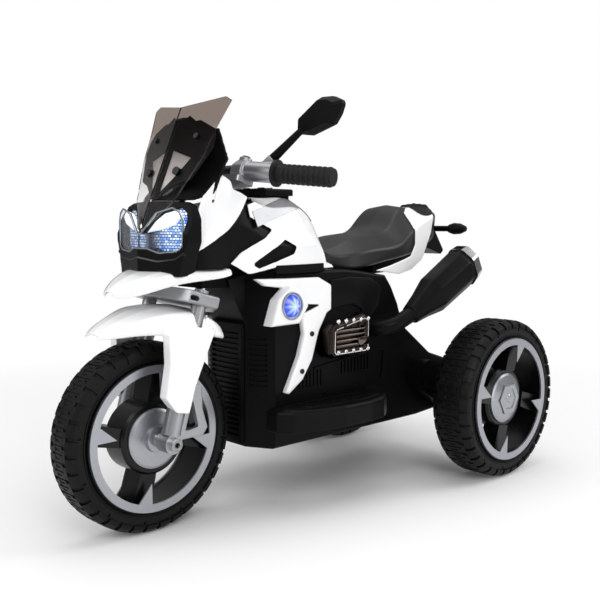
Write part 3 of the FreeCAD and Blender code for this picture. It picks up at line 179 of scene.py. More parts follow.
def ramp(tree, value, low, high, **ends):
    """A value stretched between two limits."""
    node = put(tree, "MapRange", From_Min=low, From_Max=high, **ends)
    link(tree, value, node.inputs["Value"])
    return node.outputs[0]


def split(tree, vector):
    """The three parts of a vector."""
    node = put(tree, "SeparateXYZ")
    link(tree, vector, node.inputs[0])
    return node.outputs


def flat(tree, across, up):
    """Two values as a place on a plane."""
    node = put(tree, "CombineXYZ")
    link(tree, across, node.inputs["X"])
    link(tree, up, node.inputs["Y"])
    return node.outputs[0]


def place(tree):
    """The place of a point on the object."""
    return put(tree, "TexCoord").outputs["Object"]


def noise(tree, where, scale, **values):
    """Noise at a scale."""
    node = put(tree, "TexNoise", **values)
    link(tree, where, node.inputs["Vector"])
    feed(tree, node.inputs["Scale"], scale)
    return node.outputs["Fac"]


def group_of(name, inputs, outputs):
    """An empty shader group with named sockets, and its two ends."""
    tree = bpy.data.node_groups.new(name, "ShaderNodeTree")
    for label, value in inputs:
        socket = tree.interface.new_socket(label, in_out="INPUT", socket_type="NodeSocketFloat")
        socket.default_value = value
    for label in outputs:
        tree.interface.new_socket(label, in_out="OUTPUT", socket_type="NodeSocketFloat")
    return tree, tree.nodes.new("NodeGroupInput"), tree.nodes.new("NodeGroupOutput")


def moulded_surface():
    """Moulded skin: fine pits for the bump, and a slow drift that shifts the roughness and the tone."""
    tree, start, end = group_of("moulded_surface",
                                [("Grain", 900.0), ("Drift", 14.0), ("Rough", 0.4), ("Spread", 0.1)],
                                ["Height", "Roughness", "Tone"])
    given = start.outputs
    where = place(tree)
    slow = noise(tree, where, given["Drift"], Detail=4.0, Roughness=0.6)
    rough = calc(tree, "MULTIPLY_ADD", calc(tree, "SUBTRACT", slow, 0.5), given["Spread"], given["Rough"])
    link(tree, noise(tree, where, given["Grain"], Detail=2.0), end.inputs["Height"])
    link(tree, rough, end.inputs["Roughness"])
    link(tree, slow, end.inputs["Tone"])
    return tree


def fine_scratches():
    """Hairlines along one way of a surface, for metal and silver paint."""
    tree, start, end = group_of("fine_scratches", [("Along", 8.0), ("Across", 700.0)], ["Lines"])
    scale = put(tree, "CombineXYZ")
    for axis, name in (("X", "Across"), ("Y", "Along"), ("Z", "Across")):
        link(tree, start.outputs[name], scale.inputs[axis])
    stretch = put(tree, "Mapping")
    link(tree, scale.outputs[0], stretch.inputs["Scale"])
    link(tree, place(tree), stretch.inputs["Vector"])
    link(tree, noise(tree, stretch.outputs[0], 1.0, Detail=3.0), end.inputs["Lines"])
    return tree


FINISHES, GROUPS = {}, {}
GROUP_MAKERS = {"moulded_surface": moulded_surface, "fine_scratches": fine_scratches}


def effect(tree, name, **values):
    """A shared effect, built once, placed in a material with its own values."""
    if name not in GROUPS:
        GROUPS[name] = GROUP_MAKERS[name]()
    node = tree.nodes.new("ShaderNodeGroup")
    node.node_tree = GROUPS[name]
    return fill(node, **values)


def blank(name):
    """The tree and the shader of a new material, which is kept by its name."""
    material = bpy.data.materials.new(name)
    material.use_nodes = True
    FINISHES[name] = material
    return material.node_tree, material.node_tree.nodes["Principled BSDF"]


def tint(tree, mask, low, high):
    """A colour between two, by a mask."""
    mix = put(tree, "Mix")
    mix.data_type = "RGBA"
    for target, colour in ((mix.inputs[6], low), (mix.inputs[7], high)):
        feed(tree, target, colour if isinstance(colour, bpy.types.NodeSocket) else (*colour, 1))
    link(tree, mask, mix.inputs["Factor"])
    return mix.outputs[2]


def bumped(tree, shader, height, strength, distance):
    """Raises a shader's surface by a height."""
    bump = put(tree, "Bump", Strength=strength, Distance=distance)
    link(tree, height, bump.inputs["Height"])
    link(tree, bump.outputs[0], shader.inputs["Normal"])


def shade(colour, gain):
    """A colour made darker or paler."""
    return tuple(min(1, c * gain) for c in colour)


def plastic(name, colour, rough, spread=0.1, grain=900, depth=0.0001, strength=0.25, drift=14, coat=0, contrast=0.12,
            gloss=0.5):
    """A moulded plastic or rubber."""
    tree, shader = blank(name)
    skin = effect(tree, "moulded_surface", Grain=grain, Drift=drift, Rough=rough, Spread=spread)
    link(tree, tint(tree, skin.outputs["Tone"], shade(colour, 1 - contrast), shade(colour, 1 + contrast)),
         shader.inputs["Base Color"])
    link(tree, skin.outputs["Roughness"], shader.inputs["Roughness"])
    bumped(tree, shader, skin.outputs["Height"], strength, depth)
    fill(shader, Coat_Weight=coat, Coat_Roughness=0.04, Specular_IOR_Level=gloss)


def metal(name, colour, rough, along=8, across=500, metallic=1.0, strength=0.08):
    """A silver finish with hairlines."""
    tree, shader = blank(name)
    lines = effect(tree, "fine_scratches", Along=along, Across=across).outputs["Lines"]
    skin = effect(tree, "moulded_surface", Grain=1500, Drift=25, Rough=rough, Spread=0.12)
    link(tree, tint(tree, lines, shade(colour, 0.9), shade(colour, 1.08)), shader.inputs["Base Color"])
    link(tree, skin.outputs["Roughness"], shader.inputs["Roughness"])
    bumped(tree, shader, lines, strength, 0.00005)
    fill(shader, Metallic=metallic)


def smoked(name, colour):
    """Smoked screen, nearly clear low down and tinted towards its top."""
    tree, shader = blank(name)
    rise = ramp(tree, split(tree, place(tree))["Z"], 0.53, 0.66)
    link(tree, tint(tree, rise, (0.93, 0.915, 0.905), colour), shader.inputs["Base Color"])
    skin = effect(tree, "moulded_surface", Grain=40, Drift=12, Rough=0.03, Spread=0.03)
    link(tree, skin.outputs["Roughness"], shader.inputs["Roughness"])
    fill(shader, Transmission_Weight=1, IOR=1.14, Specular_IOR_Level=0.12)


def clear(name, colour):
    """Clear moulded lens."""
    tree, shader = blank(name)
    skin = effect(tree, "moulded_surface", Grain=60, Drift=20, Rough=0.03, Spread=0.02)
    link(tree, skin.outputs["Roughness"], shader.inputs["Roughness"])
    bumped(tree, shader, skin.outputs["Height"], 0.05, 0.0003)
    fill(shader, Base_Color=(*colour, 1), Transmission_Weight=1, IOR=1.25)


def gem(name, colour):
    """Cut gem of a side lamp, lit from its middle in rays."""
    cuts, ray = 16, 0.008
    tree, shader = blank(name)
    centred = put(tree, "Mapping", Location=(-SIDE_LAMP.x, 0, -SIDE_LAMP.z), Scale=(1, 0, 1))
    link(tree, place(tree), centred.inputs["Vector"])
    parts = split(tree, centred.outputs[0])
    turn = put(tree, "TexGradient")
    turn.gradient_type = "RADIAL"
    link(tree, flat(tree, parts["X"], parts["Z"]), turn.inputs["Vector"])
    rays = calc(tree, "PINGPONG", calc(tree, "MULTIPLY", turn.outputs["Fac"], cuts), 1)
    spread = calc(tree, "MULTIPLY_ADD", rays, ray, length(tree, centred.outputs[0]))
    rim = ramp(tree, spread, 0.003, 0.021)
    link(tree, tint(tree, rim, (0.5, 0.65, 1.0), shade(colour, 0.5)), shader.inputs["Emission Color"])
    link(tree, tint(tree, rim, (0.4, 0.5, 0.9), shade(colour, 0.5)), shader.inputs["Base Color"])
    fill(shader, Emission_Strength=0.75, Roughness=0.08)


def lit_grid(name, glow, strength):
    """Reflector: rows of small lit cells, dark towards the middle."""
    tree, shader = blank(name)
    parts = split(tree, place(tree))
    cells = put(tree, "TexBrick", Scale=1.0, Brick_Width=0.0065, Row_Height=0.0044, Mortar_Size=0.0006,
                Color1=(0.85, 0.95, 1.0, 1), Color2=(*glow, 1), Mortar=(0.01, 0.03, 0.1, 1))
    link(tree, flat(tree, parts["Y"], parts["Z"]), cells.inputs["Vector"])
    lit = ramp(tree, calc(tree, "ABSOLUTE", parts["Y"]), 0.006, 0.034)
    mix = tint(tree, lit, (0.03, 0.035, 0.05), cells.outputs["Color"])
    link(tree, mix, shader.inputs["Base Color"])
    link(tree, mix, shader.inputs["Emission Color"])
    bumped(tree, shader, cells.outputs["Fac"], 0.5, 0.001)
    fill(shader, Emission_Strength=strength, Metallic=0.7, Roughness=0.18)


def light_guide(name):
    """Milky light guide that glows more towards its outer end."""
    tree, shader = blank(name)
    lit = ramp(tree, calc(tree, "ABSOLUTE", split(tree, place(tree))["Y"]), 0.005, 0.05)
    link(tree, tint(tree, lit, (0.5, 0.56, 0.66), (0.95, 0.98, 1.0)), shader.inputs["Emission Color"])
    link(tree, tint(tree, lit, (0.7, 0.74, 0.8), (0.95, 0.97, 1.0)), shader.inputs["Base Color"])
    fill(shader, Emission_Strength=0.55, Roughness=0.2)


def make_finishes():
    """All finishes, by the record's slots and for the pieces made here."""
    c = colours()
    plastic("white_gloss", c.white, rough=0.2, spread=0.06, grain=160, depth=0.0002, strength=0.04, drift=6,
            coat=0.5, contrast=0.015)
    plastic("black_plastic", c.black, rough=0.38, spread=0.14, grain=1100, depth=0.0002, strength=0.3, drift=16,
            contrast=0.3, gloss=0.09)
    plastic("seat_plastic", c.seat, rough=0.42, spread=0.12, grain=620, depth=0.0004, strength=0.35, drift=18,
            contrast=0.15, gloss=0.45)
    plastic("tyre", c.rubber, rough=0.46, spread=0.16, grain=420, depth=0.0003, strength=0.3, drift=26,
            contrast=0.4, gloss=0.15)
    plastic("black_rim", c.rim, rough=0.26, spread=0.12, grain=700, depth=0.0001, strength=0.15, drift=20,
            contrast=0.2, gloss=0.25)
    plastic("grip_rubber", shade(c.rubber, 1.2), rough=0.55, spread=0.15, grain=800, depth=0.0003, strength=0.5,
            drift=30, contrast=0.3, gloss=0.25)
    plastic("button_plastic", shade(c.black, 3), rough=0.28, spread=0.08, strength=0.2, drift=30)
    plastic("battery_case", (0.09, 0.1, 0.12), rough=0.4)
    plastic("black_steel", c.black, rough=0.3, grain=500, strength=0.15, drift=20, coat=0.15, contrast=0.2,
            gloss=0.3)
    metal("silver_trim", c.silver, rough=0.3, along=30, across=260, metallic=0.8, strength=0.03)
    metal("silver_paint", c.dull_silver, rough=0.34, along=60, across=320, metallic=0.8, strength=0.05)
    metal("steel", (0.62, 0.62, 0.63), rough=0.28)
    metal("engine_chrome", c.chrome, rough=0.1, along=40, across=120, strength=0.04)
    # Painted shade: the engine chrome darkened to a fifth, for the covers' body around the brighter fins
    metal("painted_shade_chrome", shade(c.chrome, 0.22), rough=0.14, along=40, across=120, strength=0.04)
    metal("bright_chrome", (0.72, 0.7, 0.69), rough=0.1, along=40, across=120, strength=0.03)
    metal("mirror_glass", (0.85, 0.87, 0.9), rough=0.04, along=1, across=1, strength=0.0)
    lit_grid("lamp_reflector", (0.07, 0.26, 0.85), 0.6)
    gem("lamp_blue", c.blue)
    smoked("smoked_screen", c.smoke)
    clear("lamp_lens", (0.95, 0.97, 1.0))
    light_guide("light_guide")


# Modelling by hand

def clear_selection():
    """Leaves edit mode with nothing selected."""
    if bpy.context.mode != "OBJECT":
        bpy.ops.object.mode_set(mode="OBJECT")
    bpy.ops.object.select_all(action="DESELECT")


def named(name):
    """Names the piece that was just added."""
    piece = bpy.context.object
    piece.name = name
    piece.data.name = name
    return piece


def only(piece):
    """Selects one piece."""
    clear_selection()
    piece.select_set(True)
    bpy.context.view_layer.objects.active = piece


def select_faces(piece, test):
    """Opens a piece in edit mode with the faces that pass a test."""
    only(piece)
    bpy.context.tool_settings.mesh_select_mode = (False, False, True)
    mesh = piece.data
    for part in (mesh.vertices, mesh.edges):
        part.foreach_set("select", [False] * len(part))
    mesh.polygons.foreach_set("select", [bool(test(face)) for face in mesh.polygons])
    bpy.ops.object.mode_set(mode="EDIT")


def all_of(piece):
    """Opens a piece in edit mode with all of it selected."""
    only(piece)
    bpy.ops.object.mode_set(mode="EDIT")
    bpy.ops.mesh.select_all(action="SELECT")


def done():
    """Ends the editing."""
    bpy.ops.object.mode_set(mode="OBJECT")


def placed(piece):
    """Ends the editing of a piece with its place in its mesh."""
    only(piece)
    bpy.ops.object.transform_apply(location=True, rotation=True, scale=True)
    return piece


def modified(piece, kind, **values):
    """Applies a modifier with its values."""
    only(piece)
    bpy.ops.object.modifier_add(type=kind)
    modifier = piece.modifiers[-1]
    for name, value in values.items():
        setattr(modifier, name, value)
    bpy.ops.object.modifier_apply(modifier=modifier.name)
    return piece


def settle(piece, body, finish, stands_for=(), angle=35):
    """Fixes a piece's place in its mesh, gives it its finish and lets it ride on a body."""
    placed(piece)
    bpy.ops.object.shade_smooth_by_angle(angle=math.radians(angle))
    piece.data.materials.clear()
    piece.data.materials.append(FINISHES[finish])
    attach(piece, body)
    if stands_for:
        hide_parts(*stands_for)
    return piece


def line(name, points):
    """A line drawn point after point."""
    clear_selection()
    bpy.context.tool_settings.mesh_select_mode = (True, False, False)
    bpy.ops.mesh.primitive_plane_add(size=0.001, location=points[0])
    piece = named(name)
    all_of(piece)
    bpy.ops.mesh.merge(type="CENTER")
    for before, after in zip(points, points[1:]):
        bpy.ops.mesh.extrude_vertices_move(TRANSFORM_OT_translate={"value": after - before})
    bpy.ops.mesh.select_all(action="SELECT")
    return piece


def plate(name, points, depth, bevel=0.0, segments=2):
    """A flat outline given a thickness along a vector, with its edges eased."""
    piece = line(name, points)
    bpy.ops.mesh.edge_face_add()
    bpy.ops.mesh.extrude_region_move(TRANSFORM_OT_translate={"value": depth})
    bpy.ops.mesh.select_all(action="SELECT")
    bpy.ops.mesh.normals_make_consistent(inside=False)
    if bevel:
        bpy.ops.mesh.bevel(offset=bevel, segments=segments, affect="EDGES", clamp_overlap=True)
    return placed(piece)


def strip(name, points, rise, thickness):
    """A line raised into a band and given a thickness."""
    piece = line(name, points)
    bpy.ops.mesh.extrude_region_move(TRANSFORM_OT_translate={"value": rise})
    return modified(placed(piece), "SOLIDIFY", thickness=thickness, offset=0)


def turned(name, centre, axis, section, steps):
    """A ring, or a knob that starts and ends on its axis: a section (radius, along) turned about the axis."""
    axis = Vector(axis).normalized()
    out = axis.orthogonal().normalized()
    piece = line(name, [centre + out * radius + axis * along for radius, along in section])
    if section[0][0] > 0:
        bpy.ops.mesh.edge_face_add()
        bpy.ops.mesh.delete(type="ONLY_FACE")
        bpy.ops.mesh.select_all(action="SELECT")
    bpy.ops.mesh.spin(steps=steps, angle=2 * math.pi, center=centre, axis=axis)
    bpy.ops.mesh.select_all(action="SELECT")
    bpy.ops.mesh.remove_doubles(threshold=0.00002)
    bpy.ops.mesh.normals_make_consistent(inside=False)
    return placed(piece)


def row(piece, count, step):
    """Copies of a piece in a row, in the same mesh."""
    return modified(piece, "ARRAY", count=count, use_relative_offset=False, use_constant_offset=True,
                    constant_offset_displace=step)


def joined(first, *others):
    """Pieces brought into one mesh."""
    only(first)
    for other in others:
        other.select_set(True)
    bpy.ops.object.join()
    return first


def both_sides(piece):
    """Repeats a piece on the other side of the bike, in the same mesh."""
    return modified(piece, "MIRROR", use_axis=(False, True, False), use_mirror_merge=False)


def other_side(piece, name):
    """A copy of a piece on the other side of the bike, with its own mesh."""
    only(piece)
    bpy.ops.object.duplicate(linked=False)
    copy = named(name)
    all_of(copy)
    bpy.ops.transform.resize(value=(1, -1, 1), center_override=(0, 0, 0))
    bpy.ops.mesh.normals_make_consistent(inside=False)
    done()
    return copy


def on_body(piece, finish, stands_for=(), angle=35):
    """Settles a piece on both sides of the body."""
    return settle(both_sides(piece), "chassis", finish, stands_for, angle)


# Outlines in millimetres laid on the frame

def on_side(points, y):
    """Points (x, z) on an upright plane along the bike."""
    return [Vector((x * MM, y, z * MM)) for x, z in points]


def on_nose(points, front):
    """Points (y, z above the axles) on the swept front of the headlamp."""
    return [Vector((front - NOSE_SWEEP * y, y * MM, AXLE_HEIGHT + z * MM)) for y, z in points]


def on_screen(points, front):
    """Points (y, z) on the swept and tilted plane of the screen."""
    return [Vector((front - SCREEN_SWEEP * y - SCREEN_TILT * (z - SCREEN_FOOT), y * MM, z * MM)) for y, z in points]


def hexagon(centre, reach, y):
    """Corners of a hexagon about an axle."""
    turns = [k * math.pi / 3 for k in range(6)]
    return [Vector((centre.x + reach * math.cos(turn), y, centre.z + reach * math.sin(turn))) for turn in turns]


# Operators

class MOTORBIKE_OT_stage(bpy.types.Operator):
    """Sets the pale floor, the soft lights and the camera"""
    bl_idname = "motorbike.stage"
    bl_label = "Stage"

    def execute(self, context):
        scene = context.scene
        scene.view_settings.view_transform = "Standard"
        clear_selection()
        bpy.ops.mesh.primitive_plane_add(size=FLOOR_WIDTH, location=(0, 0, 0))
        floor = named("studio_floor")
        self.floor_finish()
        floor.data.materials.append(FINISHES["studio_floor"])
        self.sky(scene)
        for spot, aim, wide, power in LAMPS:
            bpy.ops.object.light_add(type="AREA", location=spot)
            lamp = context.object
            lamp.data.size = wide
            lamp.data.energy = power
            lamp.rotation_euler = (Vector(aim) - Vector(spot)).to_track_quat("-Z", "Y").to_euler()
        self.camera(context)
        return {"FINISHED"}

    def camera(self, context):
        """The camera, turned to the left front of the bike."""
        level = math.cos(CAMERA_RISE)
        back = Vector((math.sin(CAMERA_TURN) * level, -math.cos(CAMERA_TURN) * level, math.sin(CAMERA_RISE)))
        bpy.ops.object.camera_add(location=CAMERA_TARGET + back * CAMERA_AWAY)
        camera = context.object
        camera.rotation_euler = (-back).to_track_quat("-Z", "Y").to_euler()
        camera.data.lens = sizes().camera_lens
        camera.data.sensor_width = SENSOR_WIDTH
        context.scene.camera = camera

    def floor_finish(self):
        """White at a distance, with the object's shadow kept near it."""
        tree, shader = blank("studio_floor")
        fill(shader, Roughness=0.7, Base_Color=(*colours().floor, 1))
        near = ramp(tree, length(tree, place(tree)), *SHADOW_REACH, To_Min=0.0, To_Max=1.0)
        seen = calc(tree, "MULTIPLY", put(tree, "LightPath").outputs["Is Camera Ray"], near)
        white = put(tree, "Emission", Strength=1.0)
        mix = put(tree, "MixShader")
        for target, source in zip(mix.inputs, (seen, shader.outputs[0], white.outputs[0])):
            link(tree, source, target)
        link(tree, mix.outputs[0], tree.nodes["Material Output"].inputs["Surface"])

    def sky(self, scene):
        """White behind the object, and a soft sky that darkens towards the horizon for the light on it."""
        world = bpy.data.worlds.new("studio")
        scene.world = world
        world.use_nodes = True
        tree = world.node_tree
        back = fill(tree.nodes["Background"], Color=(1, 1, 1, 1))
        up = split(tree, put(tree, "TexCoord").outputs["Generated"])["Z"]
        dome = ramp(tree, up, 0.0, SKY_TOP, To_Min=SKY_LOW, To_Max=SKY_HIGH)
        path = put(tree, "LightPath").outputs
        seen = calc(tree, "MAXIMUM", path["Is Camera Ray"], path["Is Transmission Ray"])
        link(tree, calc(tree, "MAXIMUM", seen, dome), back.inputs["Strength"])


class MOTORBIKE_OT_finishes(bpy.types.Operator):
    """Gives each piece of the frame its finish"""
    bl_idname = "motorbike.finishes"
    bl_label = "Frame finishes"

    def execute(self, context):
        make_finishes()
        slots = {row["node"]: row["material_slot"] for row in frame["record"]["subparts"]}
        # The engine covers take the darkened chrome, which is painted shade
        slots.update(panel_screws="black_steel", muffler_tips="bright_chrome", engine_covers="painted_shade_chrome")
        for name, piece in frame["nodes"].items():
            piece.data.materials.clear()
            piece.data.materials.append(FINISHES[slots[name]])
        return {"FINISHED"}


class MOTORBIKE_OT_tyres(bpy.types.Operator):
    """Models the three tyres: ribbed crown, two rows of blocks and cut shoulders"""
    bl_idname = "motorbike.tyres"
    bl_label = "Tyres"

    def tyre(self, name, centre, width, body, node):
        half = width / 2
        depth = sizes().tread_depth
        top = TYRE_RADIUS - depth * TREAD_SINK
        side = [(0.1221, half - 0.006), (0.1265, half - 0.0032), (0.1272, half - 0.0018), (0.1286, half - 0.0018),
                (0.1292, half - 0.0032), (0.1345, half - 0.0026), (0.1405, half - 0.0030), (0.1462, half - 0.0042),
                (top - 0.0042, half - 0.0082), (top - 0.0018, half * 0.62), (top - 0.0006, half * 0.38),
                (top, half * 0.17)]
        section = side + [(radius, -y) for radius, y in reversed(side)]
        piece = turned(name, centre, ACROSS, section, TREAD_STEPS)

        def step(face):
            offset = face.center - centre
            return int((math.atan2(offset.z, offset.x) / (2 * math.pi) % 1) * TREAD_STEPS)

        def across(face):
            return abs(face.center.y - centre.y) / half

        def reach(face):
            offset = face.center - centre
            return math.hypot(offset.x, offset.z)

        def tread(face, inner, outer):
            return reach(face) > TREAD_FLOOR and inner < across(face) < outer

        def shoulder(face):
            return reach(face) > SHOULDER_FLOOR and across(face) > 0.63

        def sidewall(face):
            return 0.1345 < reach(face) < 0.1405 and across(face) > 0.8

        bands = [
            (lambda f: tread(f, -1, 0.16) and step(f) % 2 == 0, 0.35),
            (lambda f: tread(f, 0.16, 0.37) and step(f) % 4 < 3, 0.6),
            (lambda f: tread(f, 0.37, 0.61) and (step(f) + 4) % 8 < 6, 0.8),
            (lambda f: shoulder(f) and step(f) % 8 < 6, 0.95),
            (lambda f: sidewall(f) and step(f) % 24 == 7, -0.7)]
        for test, share in bands:
            select_faces(piece, test)
            bpy.ops.mesh.extrude_region_shrink_fatten(TRANSFORM_OT_shrink_fatten={"value": depth * share})
            done()
        return settle(piece, body, "tyre", (node,), 28)

    def execute(self, context):
        self.tyre("front_tyre_tread", FRONT_AXLE, 0.069, "front_wheel", "front_tyre")
        for name, side in (("left", 1), ("right", -1)):
            centre = Vector((REAR_AXLE.x, side * REAR_AXLE.y, REAR_AXLE.z))
            self.tyre(f"rear_tyre_tread_{name}", centre, 0.082, f"rear_wheel_{name}", f"rear_tyre_{name}")
        return {"FINISHED"}


class MOTORBIKE_OT_mouldings(bpy.types.Operator):
    """Rounds the edges of the mouldings and castings as they come out of a mould"""
    bl_idname = "motorbike.mouldings"
    bl_label = "Rounded mouldings"

    def rounded(self, node, grid, rounds, share):
        """A copy of a piece with its edges rounded by a number of smoothing rounds on a fine grid."""
        body = next(name for name, nodes in frame["record"]["behaviour"]["bodies"].items() if node in nodes)
        slot = next(row["material_slot"] for row in frame["record"]["subparts"] if row["node"] == node)
        only(frame["nodes"][node])
        bpy.ops.object.duplicate(linked=False)
        piece = named(node + "_skin")
        all_of(piece)
        bpy.ops.mesh.remove_doubles(threshold=0.00001)
        done()
        modified(piece, "REMESH", mode="VOXEL", voxel_size=grid)
        modified(piece, "SMOOTH", factor=0.5, iterations=rounds)
        modified(piece, "DECIMATE", ratio=share)
        piece.data.validate()
        return settle(piece, body, slot, (node,), 60)

    def execute(self, context):
        sets = (
            (("front_mudguard", "beak"), 0.0011, 14, 0.2),
            (("seat", "tank_cover", "nose_cowl", "tail_panel_left", "tail_panel_right", "side_fairing_left",
              "side_fairing_right"), 0.0014, 8, 0.25),
            (("headlamp_housing", "screen_shield", "nose_cheeks", "muffler_left", "muffler_right", "footboard_left",
              "footboard_right"), 0.0016, 3, 0.25),
            (("fork_crown", "brake_brackets", "bar_clamps"), 0.0012, 3, 0.25))
        for nodes, grid, rounds, share in sets:
            for node in nodes:
                self.rounded(node, grid, rounds, share)
        return {"FINISHED"}


class MOTORBIKE_OT_hubs(bpy.types.Operator):
    """Models the raised six-sided ring on the rear hub caps and the socket of the front axle bolt"""
    bl_idname = "motorbike.hubs"
    bl_label = "Hubs"

    def execute(self, context):
        reach = sizes().hub_relief
        ring = plate("hub_relief_left", hexagon(REAR_AXLE, reach, 0.2465), Vector((0, 0.0085, 0)))
        select_faces(ring, lambda f: f.normal.y > 0.9)
        bpy.ops.mesh.inset(thickness=reach * 0.3, depth=0)
        bpy.ops.mesh.extrude_region_move(TRANSFORM_OT_translate={"value": (0, -0.0022, 0)})
        bpy.ops.mesh.select_all(action="SELECT")
        bpy.ops.mesh.bevel(offset=0.0008, segments=2, affect="EDGES", clamp_overlap=True)
        done()
        knob = turned("hub_knob_left", Vector((REAR_AXLE.x, 0, REAR_AXLE.z)), ACROSS, [
            (0, 0.2515), (0.0085, 0.2515), (0.0085, 0.2535), (0.0065, 0.2556), (0.0025, 0.2562), (0, 0.2562)], 32)
        joined(ring, knob)
        twin = other_side(ring, "hub_relief_right")
        settle(ring, "rear_wheel_left", "silver_trim")
        settle(twin, "rear_wheel_right", "silver_trim")
        cap = turned("front_bolt_rims", FRONT_AXLE, ACROSS, [
            (0.0048, 0.0899), (0.0106, 0.0899), (0.0106, 0.0922), (0.0094, 0.0936), (0.0082, 0.0936),
            (0.0076, 0.0926), (0.0064, 0.0926), (0.006, 0.0934), (0.0048, 0.0934)], 40)
        settle(both_sides(cap), "steering", "silver_paint")
        socket = plate("front_bolt_sockets", hexagon(FRONT_AXLE, 0.0047, 0.0899), Vector((0, 0.0008, 0)), 0.0002)
        settle(both_sides(socket), "steering", "black_plastic")
        return {"FINISHED"}


class MOTORBIKE_OT_mirrors(bpy.types.Operator):
    """Models the two mirror glasses with their ground edge"""
    bl_idname = "motorbike.mirrors"
    bl_label = "Mirror glasses"

    def execute(self, context):
        outline = [(-49, -14), (-49, -4), (-17, 15), (6, 29), (31, 28), (54, 18), (46, 0), (33, -16), (-19, -30),
                   (-50, -26)]
        corners = [MIRROR_MIDDLE + Vector((0, y * MIRROR_GLASS_SCALE, z * MIRROR_GLASS_SCALE)) for y, z in outline]
        glass = plate("mirror_glass_left", corners, Vector((-0.0016, 0, 0)))
        select_faces(glass, lambda f: f.normal.x < -0.9)
        bpy.ops.mesh.inset(thickness=sizes().glass_bevel, depth=0)
        bpy.ops.transform.translate(value=(-0.0005, 0, 0))
        done()
        twin = other_side(glass, "mirror_glass_right")
        settle(glass, "mirror_left", "mirror_glass", (), 10)
        settle(twin, "mirror_right", "mirror_glass", (), 10)
        return {"FINISHED"}


class MOTORBIKE_OT_lamps(bpy.types.Operator):
    """Models the light guides and rims of the headlamp and the gems and rims of the side lamps"""
    bl_idname = "motorbike.lamps"
    bl_label = "Lamps"

    def execute(self, context):
        guide = [(12, 331), (30, 349), (49, 361), (68, 365), (80, 357), (68, 344), (40, 336)]
        blade = plate("headlamp_light_guides", on_nose(guide, 0.3395), Vector((-0.004, -0.001, 0)))
        select_faces(blade, lambda f: f.normal.x > 0.9)
        bpy.ops.mesh.inset(thickness=0.002, depth=0)
        bpy.ops.transform.translate(value=(0.0016, 0.0004, 0))
        done()
        on_body(blade, "light_guide", (), 20)
        lens = [(0, 306), (18, 306), (42, 299), (78, 302), (89, 309), (91, 349), (84, 363), (70, 370), (38, 362),
                (6, 330), (0, 329)]
        edge = strip("headlamp_rim", on_nose(lens, 0.3462), Vector((0.0018, 0.0005, 0)), 0.0022)
        on_body(edge, "silver_trim")
        lip = [(0, 292), (40, 286), (76, 290), (94, 300)]
        chin = strip("headlamp_lip", on_nose(lip, 0.349), Vector((-0.006, -0.0015, -0.003)), 0.003)
        on_body(chin, "black_steel")
        stone = turned("side_lamp_gems", SIDE_LAMP, ACROSS, [
            (0, 0.1296), (0.0065, 0.1288), (0.0135, 0.1262), (0.0188, 0.1222), (0.0206, 0.119), (0.0188, 0.1075),
            (0, 0.1075)], 14)
        on_body(stone, "lamp_blue", ("side_lamps",), 4)
        rim = turned("side_lamp_rims", SIDE_LAMP, ACROSS, [
            (0.0206, 0.1206), (0.0240, 0.1206), (0.0240, 0.1222), (0.0228, 0.1242), (0.0216, 0.1244),
            (0.0206, 0.1232)], 48)
        on_body(rim, "silver_trim")
        return {"FINISHED"}


class MOTORBIKE_OT_engine(bpy.types.Operator):
    """Models the bolts, the fins and the bare plate of the engine covers, and a bright chrome strip along their edge
    as a painted highlight
    """
    bl_idname = "motorbike.engine"
    bl_label = "Engine covers"

    def bolts(self, name, height):
        """A row of bolt heads."""
        head = [(0, 0.1346), (0.0017, 0.1343), (0.0027, 0.1334), (0.0029, 0.1326), (0.0042, 0.1322),
                (0.0042, ENGINE_FACE), (0, ENGINE_FACE)]
        return row(turned(name, Vector((-0.0595, 0, height)), ACROSS, head, 16), 5, (0.0195, 0, 0))

    def execute(self, context):
        heads = joined(self.bolts("engine_bolts", 0.3275), self.bolts("engine_bolts_low", 0.2725))
        on_body(heads, "bright_chrome")
        corners = on_side([(-50, 281.3), (26, 281.3), (26, 285.7), (-50, 285.7)], 0.1302)
        fin = row(plate("engine_fins", corners, Vector((0, 0.0038, 0)), 0.0016, 3), 4, (0, 0, 0.009))
        on_body(fin, "engine_chrome")
        corners = on_side([(-58, 281), (-34, 281), (-30, 285), (-30, 296), (-58, 296)], ENGINE_FACE)
        bare = plate("engine_plates", corners, Vector((0, 0.0052, 0)), 0.0008)
        on_body(bare, "engine_chrome")
        # Painted highlight: a raised strip of bright chrome laid along the covers' edge, where the covers catch the
        # light
        edge = [(-49, 329), (-59, 325), (-58, 276), (-52, 270), (25, 270), (29, 274), (28, 309), (23, 314),
                (-49, 329)]
        rim = strip("engine_rim_highlights", on_side(edge, ENGINE_FACE), Vector((0, 0.0024, 0)), 0.0018)
        on_body(rim, "bright_chrome")
        return {"FINISHED"}


class MOTORBIKE_OT_exhausts(bpy.types.Operator):
    """Models the mouths in the ends of the exhausts"""
    bl_idname = "motorbike.exhausts"
    bl_label = "Exhaust mouths"

    def execute(self, context):
        end = EXHAUST_START + EXHAUST_WAY * EXHAUST_LENGTH
        lip = turned("exhaust_lips", end, EXHAUST_WAY, [
            (0.0168, -0.002), (0.0215, -0.002), (0.0215, 0.0012), (0.0198, 0.0032), (0.0182, 0.0032),
            (0.0168, 0.0018)], 40)
        on_body(lip, "bright_chrome")
        core = turned("exhaust_cores", end, EXHAUST_WAY, [
            (0, 0.0012), (0.004, 0.0012), (0.0048, 0.0004), (0.0102, 0.0004), (0.0112, 0.0014), (0.0136, 0.0014),
            (0.0146, 0.0004), (0.0169, 0.0004), (0.0169, -0.002), (0, -0.002)], 40)
        on_body(core, "black_steel")
        return {"FINISHED"}


